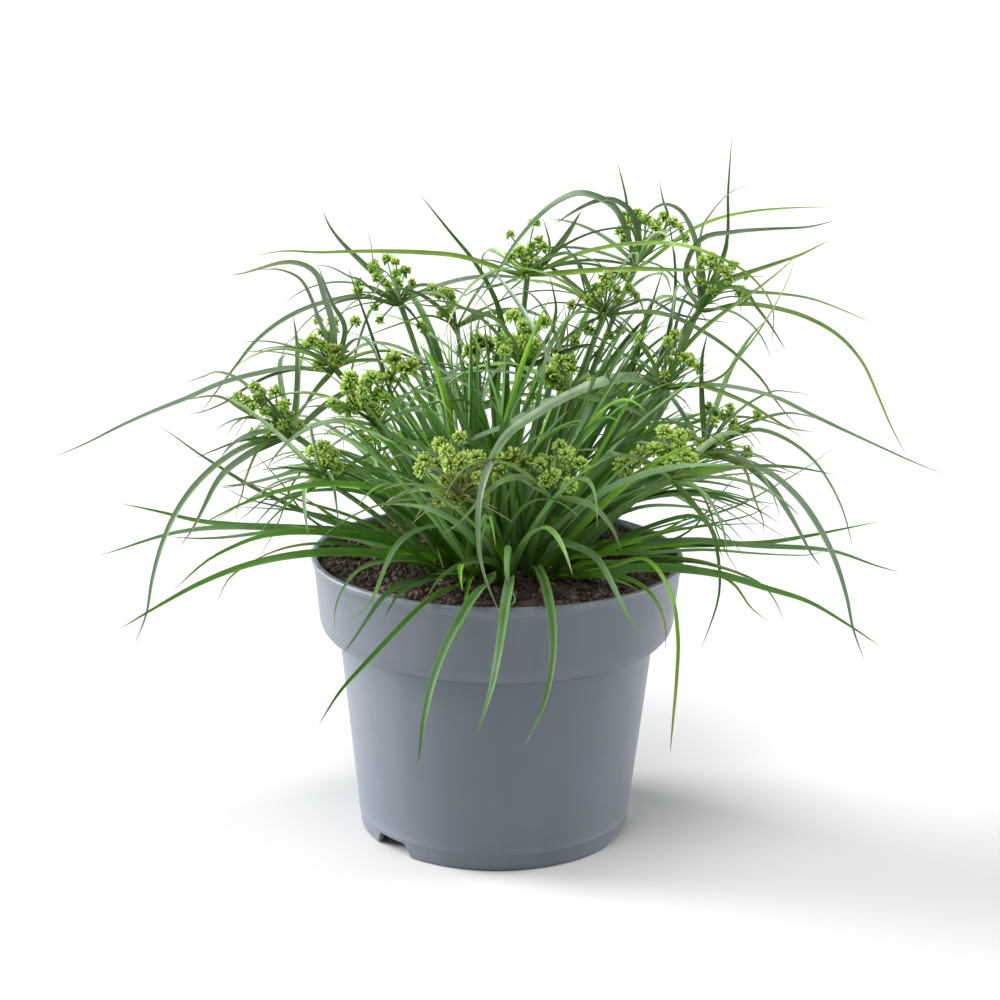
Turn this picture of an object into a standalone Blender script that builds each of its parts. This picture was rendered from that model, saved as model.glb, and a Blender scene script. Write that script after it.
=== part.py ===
# Potted sedge: a tufted sedge in flower, growing in potting soil in a plastic nursery pot.
# Origin on the floor at the middle of the pot, +X to the right, +Y to the back, +Z up, in metres.
import math

import bmesh
import bpy
from mathutils import Vector

# Driving dimensions of the pot
POT_HEIGHT = 0.1764
LIP_RADIUS = 0.1158
LIP_DEPTH = 0.0026
LIP_OVERHANG = 0.0016
COLLAR_TOP_RADIUS = 0.1140
COLLAR_LOW_RADIUS = 0.1110
SHOULDER_TOP = 0.1400
SHOULDER_FOOT = 0.1262
SHOULDER_FOOT_RADIUS = 0.0994
WALL_TOP_RADIUS = 0.0986
BASE_RADIUS = 0.0850
EDGE_ROUND = 0.0015
WALL = 0.0022
RECESS = 0.0100
FOOT_RING = 0.0030
POT_SIDES = 44

# The three gaps in the foot ring that let water out: bearing from the front towards +X, and half width
NOTCHES = ((-47.2, 0.0160), (74.5, 0.0264), (194.0, 0.0200))
NOTCH_SLANT = 0.0053
NOTCH_HEIGHT = 0.0085
NOTCH_CUT_BELOW = 0.0040
NOTCH_CUT_IN = 0.0120
NOTCH_CUT_OUT = 0.0060

# Soil, feet and stalks
GAP = 0.0003
FOOT_GAP = 0.0012
CULM_FOOT_GAP = 0.0024
SOIL_EDGE = 0.1665
SOIL_RISE = 0.0055
SOIL_SHOULDER = 0.1030
SOIL_MOUND = 0.0014
SOIL_TILT = 0.0080
SOIL_ROUGHNESS = 0.0005
SOIL_SIDES = 32
CULM_FOOT_RADIUS = 0.0026
CULM_TOP_RADIUS = 0.0017
CULM_RINGS = 5
BRACT_START = 0.0042
HEAD_LOBES = 11

# Blades
LEAF_RINGS = 9
BLADE_THICKNESS = 0.0010
FOLD = 0.16

# The photograph's view, which places what is read from it: distances in metres, the frame 1000 by 1000
VIEW_DISTANCE = 1.3186
VIEW_TARGET_HEIGHT = 0.210
VIEW_TILT = math.radians(14.9)
VIEW_FOCAL = 2129.5
VIEW_CENTRE = (498.2, 500.0)
VIEW_ROLL = math.radians(0.8)

# Colours
POT_GREY = (0.15, 0.175, 0.195)
SOIL_BROWN = (0.045, 0.030, 0.026)
CULM_GREEN = (0.075, 0.16, 0.035)
HEAD_GREEN = (0.23, 0.36, 0.06)
LEAF_GREEN = (0.09, 0.20, 0.045)
BRACT_GREEN = (0.12, 0.20, 0.12)

# Flowering stalks: name, the culm's foot (x, y), then the photograph's points (across, down) of the
# fork under the flower head and of the head's middle, the depth behind the pot's axis, head radius
UMBELS = (
    ("left", (-0.040, -0.008), (293, 435), (273, 416), -0.010, 0.022),
    ("upper_left", (-0.034, 0.008), (335, 369), (322, 348), 0.005, 0.018),
    ("high_left", (-0.022, 0.030), (400, 304), (387, 277), 0.070, 0.022),
    ("high_middle", (0.005, 0.028), (527, 275), (528, 252), 0.052, 0.018),
    ("middle", (0.007, 0.006), (520, 369), (520, 344), 0.004, 0.022),
    ("middle_olive", (-0.009, 0.014), (478, 374), (476, 352), 0.034, 0.013),
    ("inner_left", (-0.030, -0.024), (378, 427), (363, 398), -0.060, 0.021),
    ("inner_right_olive", (0.018, -0.012), (566, 394), (563, 374), -0.030, 0.014),
    ("right_middle", (0.020, 0.020), (604, 316), (608, 288), 0.040, 0.020),
    ("high_right", (0.028, 0.038), (636, 266), (652, 234), 0.092, 0.020),
    ("upper_right", (0.038, 0.021), (700, 310), (722, 280), 0.045, 0.021),
    ("right_inner", (0.035, 0.004), (665, 387), (681, 362), 0.010, 0.018),
    ("right", (0.042, -0.012), (703, 454), (722, 431), 0.000, 0.022),
    ("low_right", (0.032, -0.028), (672, 480), (675, 454), -0.085, 0.021),
    ("front", (0.016, -0.036), (552, 498), (554, 472), -0.110, 0.022),
    ("front_pale", (-0.014, -0.036), (462, 503), (452, 471), -0.118, 0.021),
)

# Bracts: the umbel each one grows below, its width, then its route as read in the photograph,
# (across, down) with the depth behind the pot's axis
BRACTS = (
    ("upper_left", 0.0055, ((289, 369, 0.000), (228, 382, -0.010), (182, 401, -0.018),
                            (134, 420, -0.026), (92, 441, -0.034), (52, 458, -0.040))),
    ("high_left", 0.0050, ((367, 297, 0.066), (329, 302, 0.062), (293, 315, 0.056),
                           (260, 338, 0.050), (234, 369, 0.044), (199, 415, 0.040))),
    ("left", 0.0065, ((257, 443, -0.014), (214, 468, -0.020), (184, 502, -0.028),
                      (165, 539, -0.034), (153, 579, -0.038), (148, 610, -0.042), (134, 646, -0.044))),
    ("high_middle", 0.0048, ((464, 258, 0.044), (415, 253, 0.034), (350, 252, 0.030),
                             (300, 253, 0.030), (264, 249, 0.030), (252, 256, 0.030))),
    ("high_middle", 0.0044, ((555, 263, 0.050), (600, 249, 0.048), (640, 244, 0.046), (678, 245, 0.030),
                             (712, 255, 0.012), (740, 268, 0.010), (764, 292, 0.012),
                             (776, 321, 0.014), (772, 345, 0.016))),
    ("high_right", 0.0060, ((628, 238, 0.080), (614, 208, 0.070), (583, 194, 0.060), (558, 202, 0.042),
                            (530, 226, 0.022), (508, 255, 0.016), (490, 286, 0.014), (470, 312, 0.014))),
    ("high_right", 0.0050, ((660, 254, 0.112), (689, 232, 0.122), (730, 216, 0.126),
                            (780, 209, 0.126), (832, 207, 0.124))),
    ("upper_right", 0.0056, ((738, 305, 0.040), (779, 310, 0.034), (812, 321, 0.030), (841, 339, 0.026),
                             (863, 365, 0.022), (877, 395, 0.018), (890, 425, 0.014), (908, 458, 0.010))),
    ("right_inner", 0.0055, ((705, 386, 0.002), (734, 388, -0.006), (780, 400, -0.016),
                             (816, 418, -0.024), (908, 460, -0.038), (946, 475, -0.042))),
    ("right", 0.0065, ((731, 458, -0.008), (769, 474, -0.016), (797, 498, -0.024), (816, 524, -0.032),
                       (832, 555, -0.038), (844, 588, -0.042), (851, 623, -0.046), (865, 662, -0.048))),
    ("right_inner", 0.0078, ((630, 379, -0.020), (590, 387, -0.060), (545, 410, -0.100), (507, 437, -0.136),
                             (489, 466, -0.156), (479, 505, -0.166), (479, 545, -0.170),
                             (487, 588, -0.170), (501, 618, -0.168))),
)

# Leaves: name, foot (x, y), width, then the route as read in the photograph
LEAVES = (
    ("tall_back_left", (-0.005, 0.036), 0.0060, ((504, 460, 0.046), (506, 380, 0.056), (503, 325, 0.062),
                                                 (488, 282, 0.066), (463, 248, 0.068), (418, 192, 0.068))),
    ("tall_back_right", (0.037, 0.030), 0.0056, ((648, 420, 0.056), (690, 330, 0.076), (717, 266, 0.084),
                                                 (730, 232, 0.085), (728, 180, 0.080), (732, 134, 0.074))),
    ("low_left_back", (-0.043, 0.002), 0.0062, ((420, 546, -0.004), (360, 533, 0.002), (299, 529, 0.006),
                                                (241, 526, 0.012), (203, 522, 0.018), (169, 514, 0.022),
                                                (118, 503, 0.028))),
    ("low_left_front", (-0.038, -0.034), 0.0070, ((440, 570, -0.046), (400, 559, -0.052), (350, 553, -0.058),
                                                  (299, 556, -0.062), (260, 562, -0.066), (222, 575, -0.070),
                                                  (184, 592, -0.073), (118, 630, -0.078))),
    ("low_right_back", (0.045, 0.004), 0.0062, ((598, 553, -0.002), (650, 547, 0.002), (700, 546, 0.006),
                                                (770, 543, 0.014), (820, 534, 0.020), (882, 521, 0.028))),
    ("low_right_front", (0.040, -0.036), 0.0070, ((575, 580, -0.050), (610, 572, -0.056), (660, 569, -0.062),
                                                  (722, 576, -0.066), (769, 590, -0.070), (816, 606, -0.073),
                                                  (883, 648, -0.078))),
    ("front_right", (0.024, -0.047), 0.0056, ((536, 566, -0.085), (546, 588, -0.125), (553, 633, -0.165),
                                              (551, 671, -0.185), (542, 710, -0.197), (526, 744, -0.204))),
    ("front_middle", (0.005, -0.053), 0.0060, ((510, 578, -0.095), (505, 606, -0.140), (498, 655, -0.175),
                                               (489, 697, -0.195), (476, 735, -0.207))),
    ("front_left", (-0.008, -0.050), 0.0062, ((495, 578, -0.085), (472, 600, -0.130), (443, 652, -0.165),
                                              (430, 692, -0.182), (423, 727, -0.192), (418, 769, -0.198))),
    ("front_far_left", (-0.022, -0.046), 0.0050, ((462, 584, -0.082), (430, 599, -0.116), (400, 628, -0.140),
                                                  (374, 655, -0.152), (340, 692, -0.160), (318, 726, -0.164))),
    ("front_far_right", (0.032, -0.043), 0.0040, ((600, 570, -0.072), (640, 560, -0.090), (662, 570, -0.096),
                                                  (675, 620, -0.100), (677, 662, -0.098), (670, 753, -0.090))),
)

# Leaves at the back, which the photograph hides: name, foot (x, y), width, route (x, y, z)
BACK_LEAVES = (
    ("back_left", (-0.022, 0.040), 0.0062, ((-0.036, 0.072, 0.270), (-0.060, 0.120, 0.318),
                                            (-0.088, 0.168, 0.300), (-0.106, 0.198, 0.240),
                                            (-0.112, 0.206, 0.180))),
    ("back_right", (0.022, 0.044), 0.0062, ((0.044, 0.078, 0.280), (0.076, 0.122, 0.335),
                                            (0.112, 0.160, 0.330), (0.150, 0.186, 0.280))),
    ("back_middle", (-0.004, 0.052), 0.0066, ((-0.008, 0.090, 0.214), (-0.012, 0.140, 0.222),
                                              (-0.014, 0.180, 0.200), (-0.018, 0.207, 0.150))),
    ("back_low_right", (0.040, 0.036), 0.0066, ((0.082, 0.080, 0.218), (0.130, 0.122, 0.224),
                                                (0.172, 0.150, 0.190))),
)


def clear_scene():
    for old in list(bpy.data.objects):
        bpy.data.objects.remove(old, do_unlink=True)


def material(name, colour, roughness):
    made = bpy.data.materials.new(name)
    made.use_nodes = True
    shader = made.node_tree.nodes["Principled BSDF"]
    shader.inputs["Base Color"].default_value = (*colour, 1.0)
    shader.inputs["Roughness"].default_value = roughness
    shader.inputs["Metallic"].default_value = 0.0
    return made


def object_from(bm, name, paint, smooth_angle=None):
    bmesh.ops.recalc_face_normals(bm, faces=bm.faces)
    mesh = bpy.data.meshes.new(name)
    bm.to_mesh(mesh)
    bm.free()
    mesh.materials.append(paint)
    if smooth_angle is not None:
        mesh.shade_smooth()
        mesh.set_sharp_from_angle(angle=smooth_angle)
    made = bpy.data.objects.new(name, mesh)
    bpy.context.collection.objects.link(made)
    return made


def seen_at(across, down, depth):
    """The real point that the photograph shows at (across, down), at a depth behind the pot's axis."""
    right = Vector((1.0, 0.0, 0.0))
    forward = Vector((0.0, math.cos(VIEW_TILT), -math.sin(VIEW_TILT)))
    up = Vector((0.0, math.sin(VIEW_TILT), math.cos(VIEW_TILT)))
    eye = Vector((0.0, 0.0, VIEW_TARGET_HEIGHT)) - forward * VIEW_DISTANCE
    off_x = across - VIEW_CENTRE[0]
    off_y = down - VIEW_CENTRE[1]
    level_x = math.cos(VIEW_ROLL) * off_x + math.sin(VIEW_ROLL) * off_y
    level_y = math.cos(VIEW_ROLL) * off_y - math.sin(VIEW_ROLL) * off_x
    ray = forward + right * (level_x / VIEW_FOCAL) - up * (level_y / VIEW_FOCAL)
    return eye + ray * ((depth - eye.y) / ray.y)


def smooth_route(points, count):
    """Evenly spaced points on a smooth curve through the given ones."""
    ends = [points[0] * 2 - points[1], *points, points[-1] * 2 - points[-2]]
    fine = []
    for before, start, end, after in zip(ends, ends[1:], ends[2:], ends[3:]):
        for step in range(12):
            t = step / 12
            fine.append(0.5 * (2 * start + (end - before) * t
                               + (2 * before - 5 * start + 4 * end - after) * t ** 2
                               + (3 * start - before - 3 * end + after) * t ** 3))
    fine.append(points[-1].copy())
    reach = [0.0]
    for a, b in zip(fine, fine[1:]):
        reach.append(reach[-1] + (b - a).length)
    route = []
    span = 0
    for step in range(count):
        target = reach[-1] * step / (count - 1)
        while span < len(fine) - 2 and reach[span + 1] < target:
            span += 1
        part = (target - reach[span]) / max(reach[span + 1] - reach[span], 1e-9)
        route.append(fine[span].lerp(fine[span + 1], min(max(part, 0.0), 1.0)))
    return route


def wall_radius(z):
    """Outer radius of the plain wall below the collar."""
    return BASE_RADIUS + (WALL_TOP_RADIUS - BASE_RADIUS) * z / SHOULDER_FOOT


def shoulder(inset=0.0, steps=4):
    """The collar's rounded underside, from the collar wall down to the plain wall."""
    reach = COLLAR_LOW_RADIUS - SHOULDER_FOOT_RADIUS
    drop = SHOULDER_TOP - SHOULDER_FOOT
    turns = [math.radians(90 * step / steps) for step in range(steps + 1)]
    return [(SHOULDER_FOOT_RADIUS - inset + reach * math.cos(turn) ** 0.8,
             SHOULDER_TOP - drop * math.sin(turn)) for turn in turns]


def inner_profile(inset):
    """The pot's inside from rim to floor, moved in by the inset."""
    rim = LIP_RADIUS - LIP_OVERHANG - WALL - inset
    return [
        (rim, POT_HEIGHT - 0.0006),
        (COLLAR_LOW_RADIUS - WALL - inset, SHOULDER_TOP),
        (WALL_TOP_RADIUS - WALL - inset, SHOULDER_FOOT + WALL),
        (wall_radius(RECESS) - WALL - inset, RECESS + WALL + inset),
        (0.0, RECESS + WALL + inset),
    ]


def turned(profile, sides):
    """A solid turned from a profile whose two ends lie on the axis."""
    bm = bmesh.new()
    verts = [bm.verts.new((r, 0.0, z)) for r, z in profile]
    edges = [bm.edges.new(pair) for pair in zip(verts, verts[1:])]
    bmesh.ops.spin(bm, geom=verts + edges, cent=(0, 0, 0), axis=(0, 0, 1),
                   angle=2 * math.pi, steps=sides, use_merge=True)
    bmesh.ops.remove_doubles(bm, verts=bm.verts, dist=1e-6)
    bmesh.ops.dissolve_degenerate(bm, edges=bm.edges, dist=1e-7)
    return bm


def notch_cutter():
    """Three tapered blocks that cut the gaps in the foot ring."""
    bm = bmesh.new()
    inner = BASE_RADIUS - NOTCH_CUT_IN
    outer = BASE_RADIUS + NOTCH_CUT_OUT
    for bearing, half_width in NOTCHES:
        angle = math.radians(bearing - 90.0)
        out = Vector((math.cos(angle), math.sin(angle), 0.0))
        side = Vector((-out.y, out.x, 0.0))
        low_half = half_width + NOTCH_CUT_BELOW * NOTCH_SLANT / NOTCH_HEIGHT
        top_half = half_width - NOTCH_SLANT
        section = ((-low_half, -NOTCH_CUT_BELOW), (low_half, -NOTCH_CUT_BELOW),
                   (top_half, NOTCH_HEIGHT), (-top_half, NOTCH_HEIGHT))
        ends = [[bm.verts.new(out * r + side * across + Vector((0, 0, z))) for across, z in section]
                for r in (inner, outer)]
        bm.faces.new(ends[0])
        bm.faces.new(ends[1][::-1])
        for i in range(4):
            j = (i + 1) % 4
            bm.faces.new((ends[0][j], ends[0][i], ends[1][i], ends[1][j]))
    made = object_from(bm, "notch_cutter", material("cutter", POT_GREY, 0.5))
    made.hide_render = True
    made.display_type = "WIRE"
    return made


def build_pot():
    lip_low = POT_HEIGHT - LIP_DEPTH
    under_lip = LIP_RADIUS - LIP_OVERHANG
    outer = [
        (under_lip - WALL + 0.0006, POT_HEIGHT),
        (LIP_RADIUS - 0.0006, POT_HEIGHT),
        (LIP_RADIUS, POT_HEIGHT - 0.0006),
        (LIP_RADIUS, lip_low),
        (under_lip, lip_low - 0.0008),
        (COLLAR_TOP_RADIUS, lip_low - 0.0030),
        *shoulder(),
        (WALL_TOP_RADIUS, SHOULDER_FOOT - 0.0004),
        (wall_radius(EDGE_ROUND), EDGE_ROUND),
        (BASE_RADIUS - EDGE_ROUND, 0.0),
        (BASE_RADIUS - FOOT_RING, 0.0),
        (BASE_RADIUS - FOOT_RING, RECESS),
        (0.0, RECESS),
    ]
    profile = inner_profile(0.0)[::-1] + outer
    paint = material("pot_plastic", POT_GREY, 0.42)
    pot = object_from(turned(profile, POT_SIDES), "pot", paint, math.radians(35))
    cut = pot.modifiers.new("drain_notches", "BOOLEAN")
    cut.operation = "DIFFERENCE"
    cut.solver = "EXACT"
    cut.object = notch_cutter()
    return pot


def soil_top(x, y):
    """Height of the soil: a plug that stands close under the rim, rounded off towards the wall."""
    r = math.hypot(x, y)
    inner = min(r / SOIL_SHOULDER, 1.0)
    mound = SOIL_MOUND * math.cos(inner * math.pi / 2) ** 2
    fall = max(r - SOIL_SHOULDER, 0.0) / (LIP_RADIUS - LIP_OVERHANG - WALL - SOIL_SHOULDER)
    ripple = math.sin(61 * x + 1.3) * math.cos(53 * y - 0.4) + 0.6 * math.sin(97 * y + 71 * x)
    return SOIL_EDGE + SOIL_RISE * (1 - min(fall, 1.0)) + mound + SOIL_TILT * y + SOIL_ROUGHNESS * ripple


def build_soil():
    rim, shoulder_top, shoulder_foot, low, floor = inner_profile(GAP)
    share = (SOIL_EDGE - shoulder_top[1]) / (rim[1] - shoulder_top[1])
    edge = shoulder_top[0] + (rim[0] - shoulder_top[0]) * share
    rings = [0.0, 0.026, 0.052, 0.078, SOIL_SHOULDER]
    profile = [(r, SOIL_EDGE) for r in rings] + [(edge - 0.0012, SOIL_EDGE)]
    profile += [shoulder_top, shoulder_foot, low, floor]
    bm = turned(profile, SOIL_SIDES)
    for vert in bm.verts:
        if vert.co.z > SOIL_EDGE - 1e-5:
            vert.co.z = soil_top(vert.co.x, vert.co.y)
    return object_from(bm, "potting_soil", material("potting_soil", SOIL_BROWN, 0.95), math.radians(60))


def tube(centres, radii, sides):
    """A closed stalk along the centres."""
    bm = bmesh.new()
    rings = []
    for index, centre in enumerate(centres):
        ahead = centres[min(index + 1, len(centres) - 1)] - centres[max(index - 1, 0)]
        across = ahead.cross(Vector((0.0, 1.0, 0.0))).normalized()
        back = ahead.cross(across).normalized()
        ring = []
        for side in range(sides):
            turn = 2 * math.pi * side / sides
            ring.append(bm.verts.new(centre + (across * math.cos(turn) + back * math.sin(turn)) * radii[index]))
        rings.append(ring)
    for low, high in zip(rings, rings[1:]):
        for i in range(sides):
            j = (i + 1) % sides
            bm.faces.new((low[i], low[j], high[j], high[i]))
    bm.faces.new(rings[0][::-1])
    bm.faces.new(rings[-1])
    return bm


def culm_route(foot, fork):
    """A culm leaves the soil steeply and leans out as it rises."""
    start = Vector((foot[0], foot[1], soil_top(*foot) + CULM_FOOT_GAP))
    bend = start + Vector(((fork.x - start.x) * 0.34, (fork.y - start.y) * 0.34, (fork.z - start.z) * 0.55))
    steps = [step / (CULM_RINGS - 1) for step in range(CULM_RINGS)]
    return [start * (1 - t) ** 2 + bend * 2 * t * (1 - t) + fork * t ** 2 for t in steps]


def build_culm(name, foot, fork, paint):
    route = culm_route(foot, fork)
    last = len(route) - 1
    radii = [CULM_FOOT_RADIUS + (CULM_TOP_RADIUS - CULM_FOOT_RADIUS) * i / last for i in range(last + 1)]
    return object_from(tube(route, radii, 6), f"culm_{name}", paint, math.radians(70))


def lobe_directions(count):
    """Directions of the flower clusters, spread evenly over the upper part of the head."""
    found = []
    for index in range(count):
        height = 0.96 - 1.16 * index / (count - 1)
        ring = math.sqrt(1 - height * height)
        turn = math.radians(137.5) * index
        found.append(Vector((ring * math.cos(turn), ring * math.sin(turn), height)))
    return found


def build_head(name, fork, middle, radius, paint):
    """A lobed head whose lobes reach the tips of its flower clusters, narrowing to the fork."""
    axis = (middle - fork).normalized()
    turn = Vector((0, 0, 1)).rotation_difference(axis)
    stem = (middle - fork).length
    lobes = lobe_directions(HEAD_LOBES)
    bm = bmesh.new()
    bmesh.ops.create_icosphere(bm, subdivisions=3, radius=1.0)
    for vert in bm.verts:
        way = vert.co.normalized()
        nearest = max(way.dot(lobe) for lobe in lobes)
        lobed = 0.62 + 0.38 * math.exp(-((1 - nearest) / 0.07))
        size = radius * lobed
        if way.z < 0:
            neck = min(-way.z * 1.5, 1.0)
            size = size * (1 - neck) + (stem - GAP * 2) * neck * 0.98
            way = Vector((way.x * (1 - neck) ** 0.7, way.y * (1 - neck) ** 0.7, way.z if neck < 1 else -1.0))
        vert.co = middle + turn @ (way * size)
    return object_from(bm, f"flower_head_{name}", paint, math.radians(50))


def blade_width(share):
    """A blade's width along its length, as a share of its full width."""
    return min(1.0, 0.6 + 2.2 * share) * (1 - share ** 2.4) ** 0.85


def blade_frames(route):
    """For each point of a route: the way ahead, the way across and the way up from the blade."""
    frames = []
    across = None
    for index, point in enumerate(route):
        ahead = (route[min(index + 1, len(route) - 1)] - route[max(index - 1, 0)]).normalized()
        if across is None:
            across = ahead.cross(Vector((0.0, 0.0, 1.0)))
            if across.length < 0.2:
                across = ahead.cross(Vector((0.0, 1.0, 0.0)))
        across = (across - ahead * across.dot(ahead)).normalized()
        frames.append((point, across, across.cross(ahead).normalized()))
    return frames


def build_blade(name, points, width, paint):
    """A folded blade: two edges, a keel below and a shallow groove above, running to a point."""
    route = smooth_route(points, LEAF_RINGS)
    bm = bmesh.new()
    rings = []
    for index, (point, across, up) in enumerate(blade_frames(route)[:-1]):
        half = width / 2 * blade_width(index / (LEAF_RINGS - 1))
        lift = FOLD * 2 * half
        rings.append([bm.verts.new(place) for place in (
            point - across * half + up * lift,
            point - up * BLADE_THICKNESS / 2,
            point + across * half + up * lift,
            point + up * BLADE_THICKNESS / 2,
        )])
    for low, high in zip(rings, rings[1:]):
        for i in range(4):
            j = (i + 1) % 4
            bm.faces.new((low[i], low[j], high[j], high[i]))
    bm.faces.new(rings[0][::-1])
    tip = bm.verts.new(route[-1])
    for i in range(4):
        bm.faces.new((rings[-1][i], rings[-1][(i + 1) % 4], tip))
    return object_from(bm, name, paint, math.radians(60))


def bract_points(fork, read):
    """A bract starts at the culm's side just under the fork and follows its read route."""
    route = [seen_at(*point) for point in read]
    start = fork - Vector((0.0, 0.0, BRACT_START / 2))
    way = route[0] - start
    way.z = max(way.z, -0.3 * way.length)
    return [start + way.normalized() * BRACT_START, *route]


def leaf_points(foot, route):
    start = Vector((foot[0], foot[1], soil_top(*foot) + FOOT_GAP))
    return [start, *route]


def build_plant():
    culm_green = material("culm_green", CULM_GREEN, 0.5)
    head_green = material("flower_green", HEAD_GREEN, 0.7)
    bract_green = material("bract_green", BRACT_GREEN, 0.45)
    leaf_green = material("leaf_green", LEAF_GREEN, 0.45)
    forks = {}
    for name, foot, fork_at, middle_at, depth, radius in UMBELS:
        fork = seen_at(*fork_at, depth)
        forks[name] = fork
        build_culm(name, foot, fork, culm_green)
        build_head(name, fork, seen_at(*middle_at, depth), radius, head_green)
    for number, (umbel, width, read) in enumerate(BRACTS, 1):
        build_blade(f"bract_{number:02d}_{umbel}", bract_points(forks[umbel], read), width, bract_green)
    for name, foot, width, read in LEAVES:
        build_blade(f"leaf_{name}", leaf_points(foot, [seen_at(*point) for point in read]), width, leaf_green)
    for name, foot, width, places in BACK_LEAVES:
        build_blade(f"leaf_{name}", leaf_points(foot, [Vector(place) for place in places]), width, leaf_green)


clear_scene()
build_pot()
build_soil()
build_plant()
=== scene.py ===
# Potted sedge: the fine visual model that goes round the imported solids.
# Metres, in the solids' own frame: origin on the floor under the pot, +X right, +Y back, +Z up.
import math

import bpy
import numpy as np
from mathutils import Matrix, Vector, noise


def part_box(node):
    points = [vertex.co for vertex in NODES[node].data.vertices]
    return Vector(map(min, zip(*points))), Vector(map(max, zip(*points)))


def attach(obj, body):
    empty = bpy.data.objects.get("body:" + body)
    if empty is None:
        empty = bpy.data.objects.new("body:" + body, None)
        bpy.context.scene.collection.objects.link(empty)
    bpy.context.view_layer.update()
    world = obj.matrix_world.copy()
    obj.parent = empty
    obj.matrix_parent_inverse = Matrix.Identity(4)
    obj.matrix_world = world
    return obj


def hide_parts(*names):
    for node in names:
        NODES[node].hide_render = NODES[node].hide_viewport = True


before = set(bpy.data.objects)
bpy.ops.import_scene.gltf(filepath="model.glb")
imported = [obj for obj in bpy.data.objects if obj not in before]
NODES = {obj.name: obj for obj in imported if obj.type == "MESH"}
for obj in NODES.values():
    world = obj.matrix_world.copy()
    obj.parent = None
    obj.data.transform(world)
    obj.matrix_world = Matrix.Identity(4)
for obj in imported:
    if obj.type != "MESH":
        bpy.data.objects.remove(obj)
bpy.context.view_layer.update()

# The photograph's view: distances in metres, focal length and middle in pixels of the 1000 x 1000 frame
VIEW_DISTANCE = 1.3186
VIEW_TARGET_HEIGHT = 0.210
VIEW_TILT = math.radians(14.9)
VIEW_FOCAL = 2129.5
VIEW_MIDDLE = (498.2, 500.0)
VIEW_ROLL = math.radians(0.8)
FRAME_SIDE = 1000
SENSOR = 36.0

RIGHT = np.array([1.0, 0.0, 0.0])
FORWARD = np.array([0.0, math.cos(VIEW_TILT), -math.sin(VIEW_TILT)])
UPWARD = np.array([0.0, math.sin(VIEW_TILT), math.cos(VIEW_TILT)])
EYE = np.array([0.0, 0.0, VIEW_TARGET_HEIGHT]) - FORWARD * VIEW_DISTANCE
SKY = np.array([0.0, 0.0, 1.0])

# The pot
POT_HEIGHT = 0.1764
LIP_RADIUS = 0.1158
COLLAR_TOP_RADIUS = 0.1140
COLLAR_LOW_RADIUS = 0.1110
SHOULDER_TOP = 0.1400
SHOULDER_FOOT = 0.1262
SHOULDER_FOOT_RADIUS = 0.0994
BASE_RADIUS = 0.0850
WALL_SLOPE = 0.108
WALL = 0.0022
RECESS = 0.0100
FOOT_RING = 0.0030
NOTCHES = ((-47.2, 0.0160), (74.5, 0.0264), (194.0, 0.0200))
NOTCH_SLANT = 0.0053
NOTCH_HEIGHT = 0.0085

# The soil
SOIL_EDGE = 0.1665
SOIL_RISE = 0.0055
SOIL_SHOULDER = 0.1030
SOIL_MOUND = 0.0014
SOIL_TILT = 0.0080
SOIL_RADIUS = 0.1106
RIM_INSIDE = 0.1120

# Blades: half-width stations round the section, from the left edge over the top and back below
BLADE_RINGS = 26
BLADE_ACROSS = np.array([-1.0, -0.5, 0.0, 0.5, 1.0, 0.5, 0.0, -0.5])
BLADE_UNDER = np.array([0.0, 0.0, 0.0, 0.0, 0.0, 1.0, 1.0, 1.0])
BLADE_THICK = np.array([0.0, 0.0, 0.0, 0.0, 0.0, 0.30, 0.60, 0.30]) * 0.001

FIELDS = ("along", "across", "tint", "dry", "bloom", "under")

# How a blade looks: place between dark and yellow green, waxy bloom, and where its dry tip starts
TONES = {
    "green": (0.45, 0.15, 0.95),
    "dark": (0.12, 0.15, 0.98),
    "fresh": (0.88, 0.00, 0.98),
    "lime": (0.98, 0.00, 0.88),
    "glaucous": (0.34, 0.70, 0.97),
    "teal": (0.08, 0.36, 0.97),
    "waxy": (0.34, 0.90, 0.99),
    "bent": (0.55, 1.35, 0.62),
    "pale": (0.70, 0.95, 0.93),
    "tipped": (0.66, 0.10, 0.70),
    "olive": (0.62, 0.10, 0.60),
    "brown": (0.55, 0.05, 0.10),
}


def unit(v):
    return v / np.maximum(np.linalg.norm(v, axis=-1, keepdims=True), 1e-12)


def seen_at(across, down, depth):
    """The real point that the photograph shows at (across, down), at a depth behind the pot's axis."""
    off_x = across - VIEW_MIDDLE[0]
    off_y = down - VIEW_MIDDLE[1]
    level_x = math.cos(VIEW_ROLL) * off_x + math.sin(VIEW_ROLL) * off_y
    level_y = math.cos(VIEW_ROLL) * off_y - math.sin(VIEW_ROLL) * off_x
    ray = FORWARD + RIGHT * (level_x / VIEW_FOCAL) - UPWARD * (level_y / VIEW_FOCAL)
    return EYE + ray * ((depth - EYE[1]) / ray[1])


def shown_at(points):
    """Where the photograph's view shows real points: (n, 2) across and down."""
    rel = np.asarray(points) - EYE
    far = rel @ FORWARD
    level_x = VIEW_FOCAL * (rel @ RIGHT) / far
    level_y = -VIEW_FOCAL * (rel @ UPWARD) / far
    across = math.cos(VIEW_ROLL) * level_x - math.sin(VIEW_ROLL) * level_y + VIEW_MIDDLE[0]
    down = math.sin(VIEW_ROLL) * level_x + math.cos(VIEW_ROLL) * level_y + VIEW_MIDDLE[1]
    return np.stack([across, down], 1)


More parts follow.
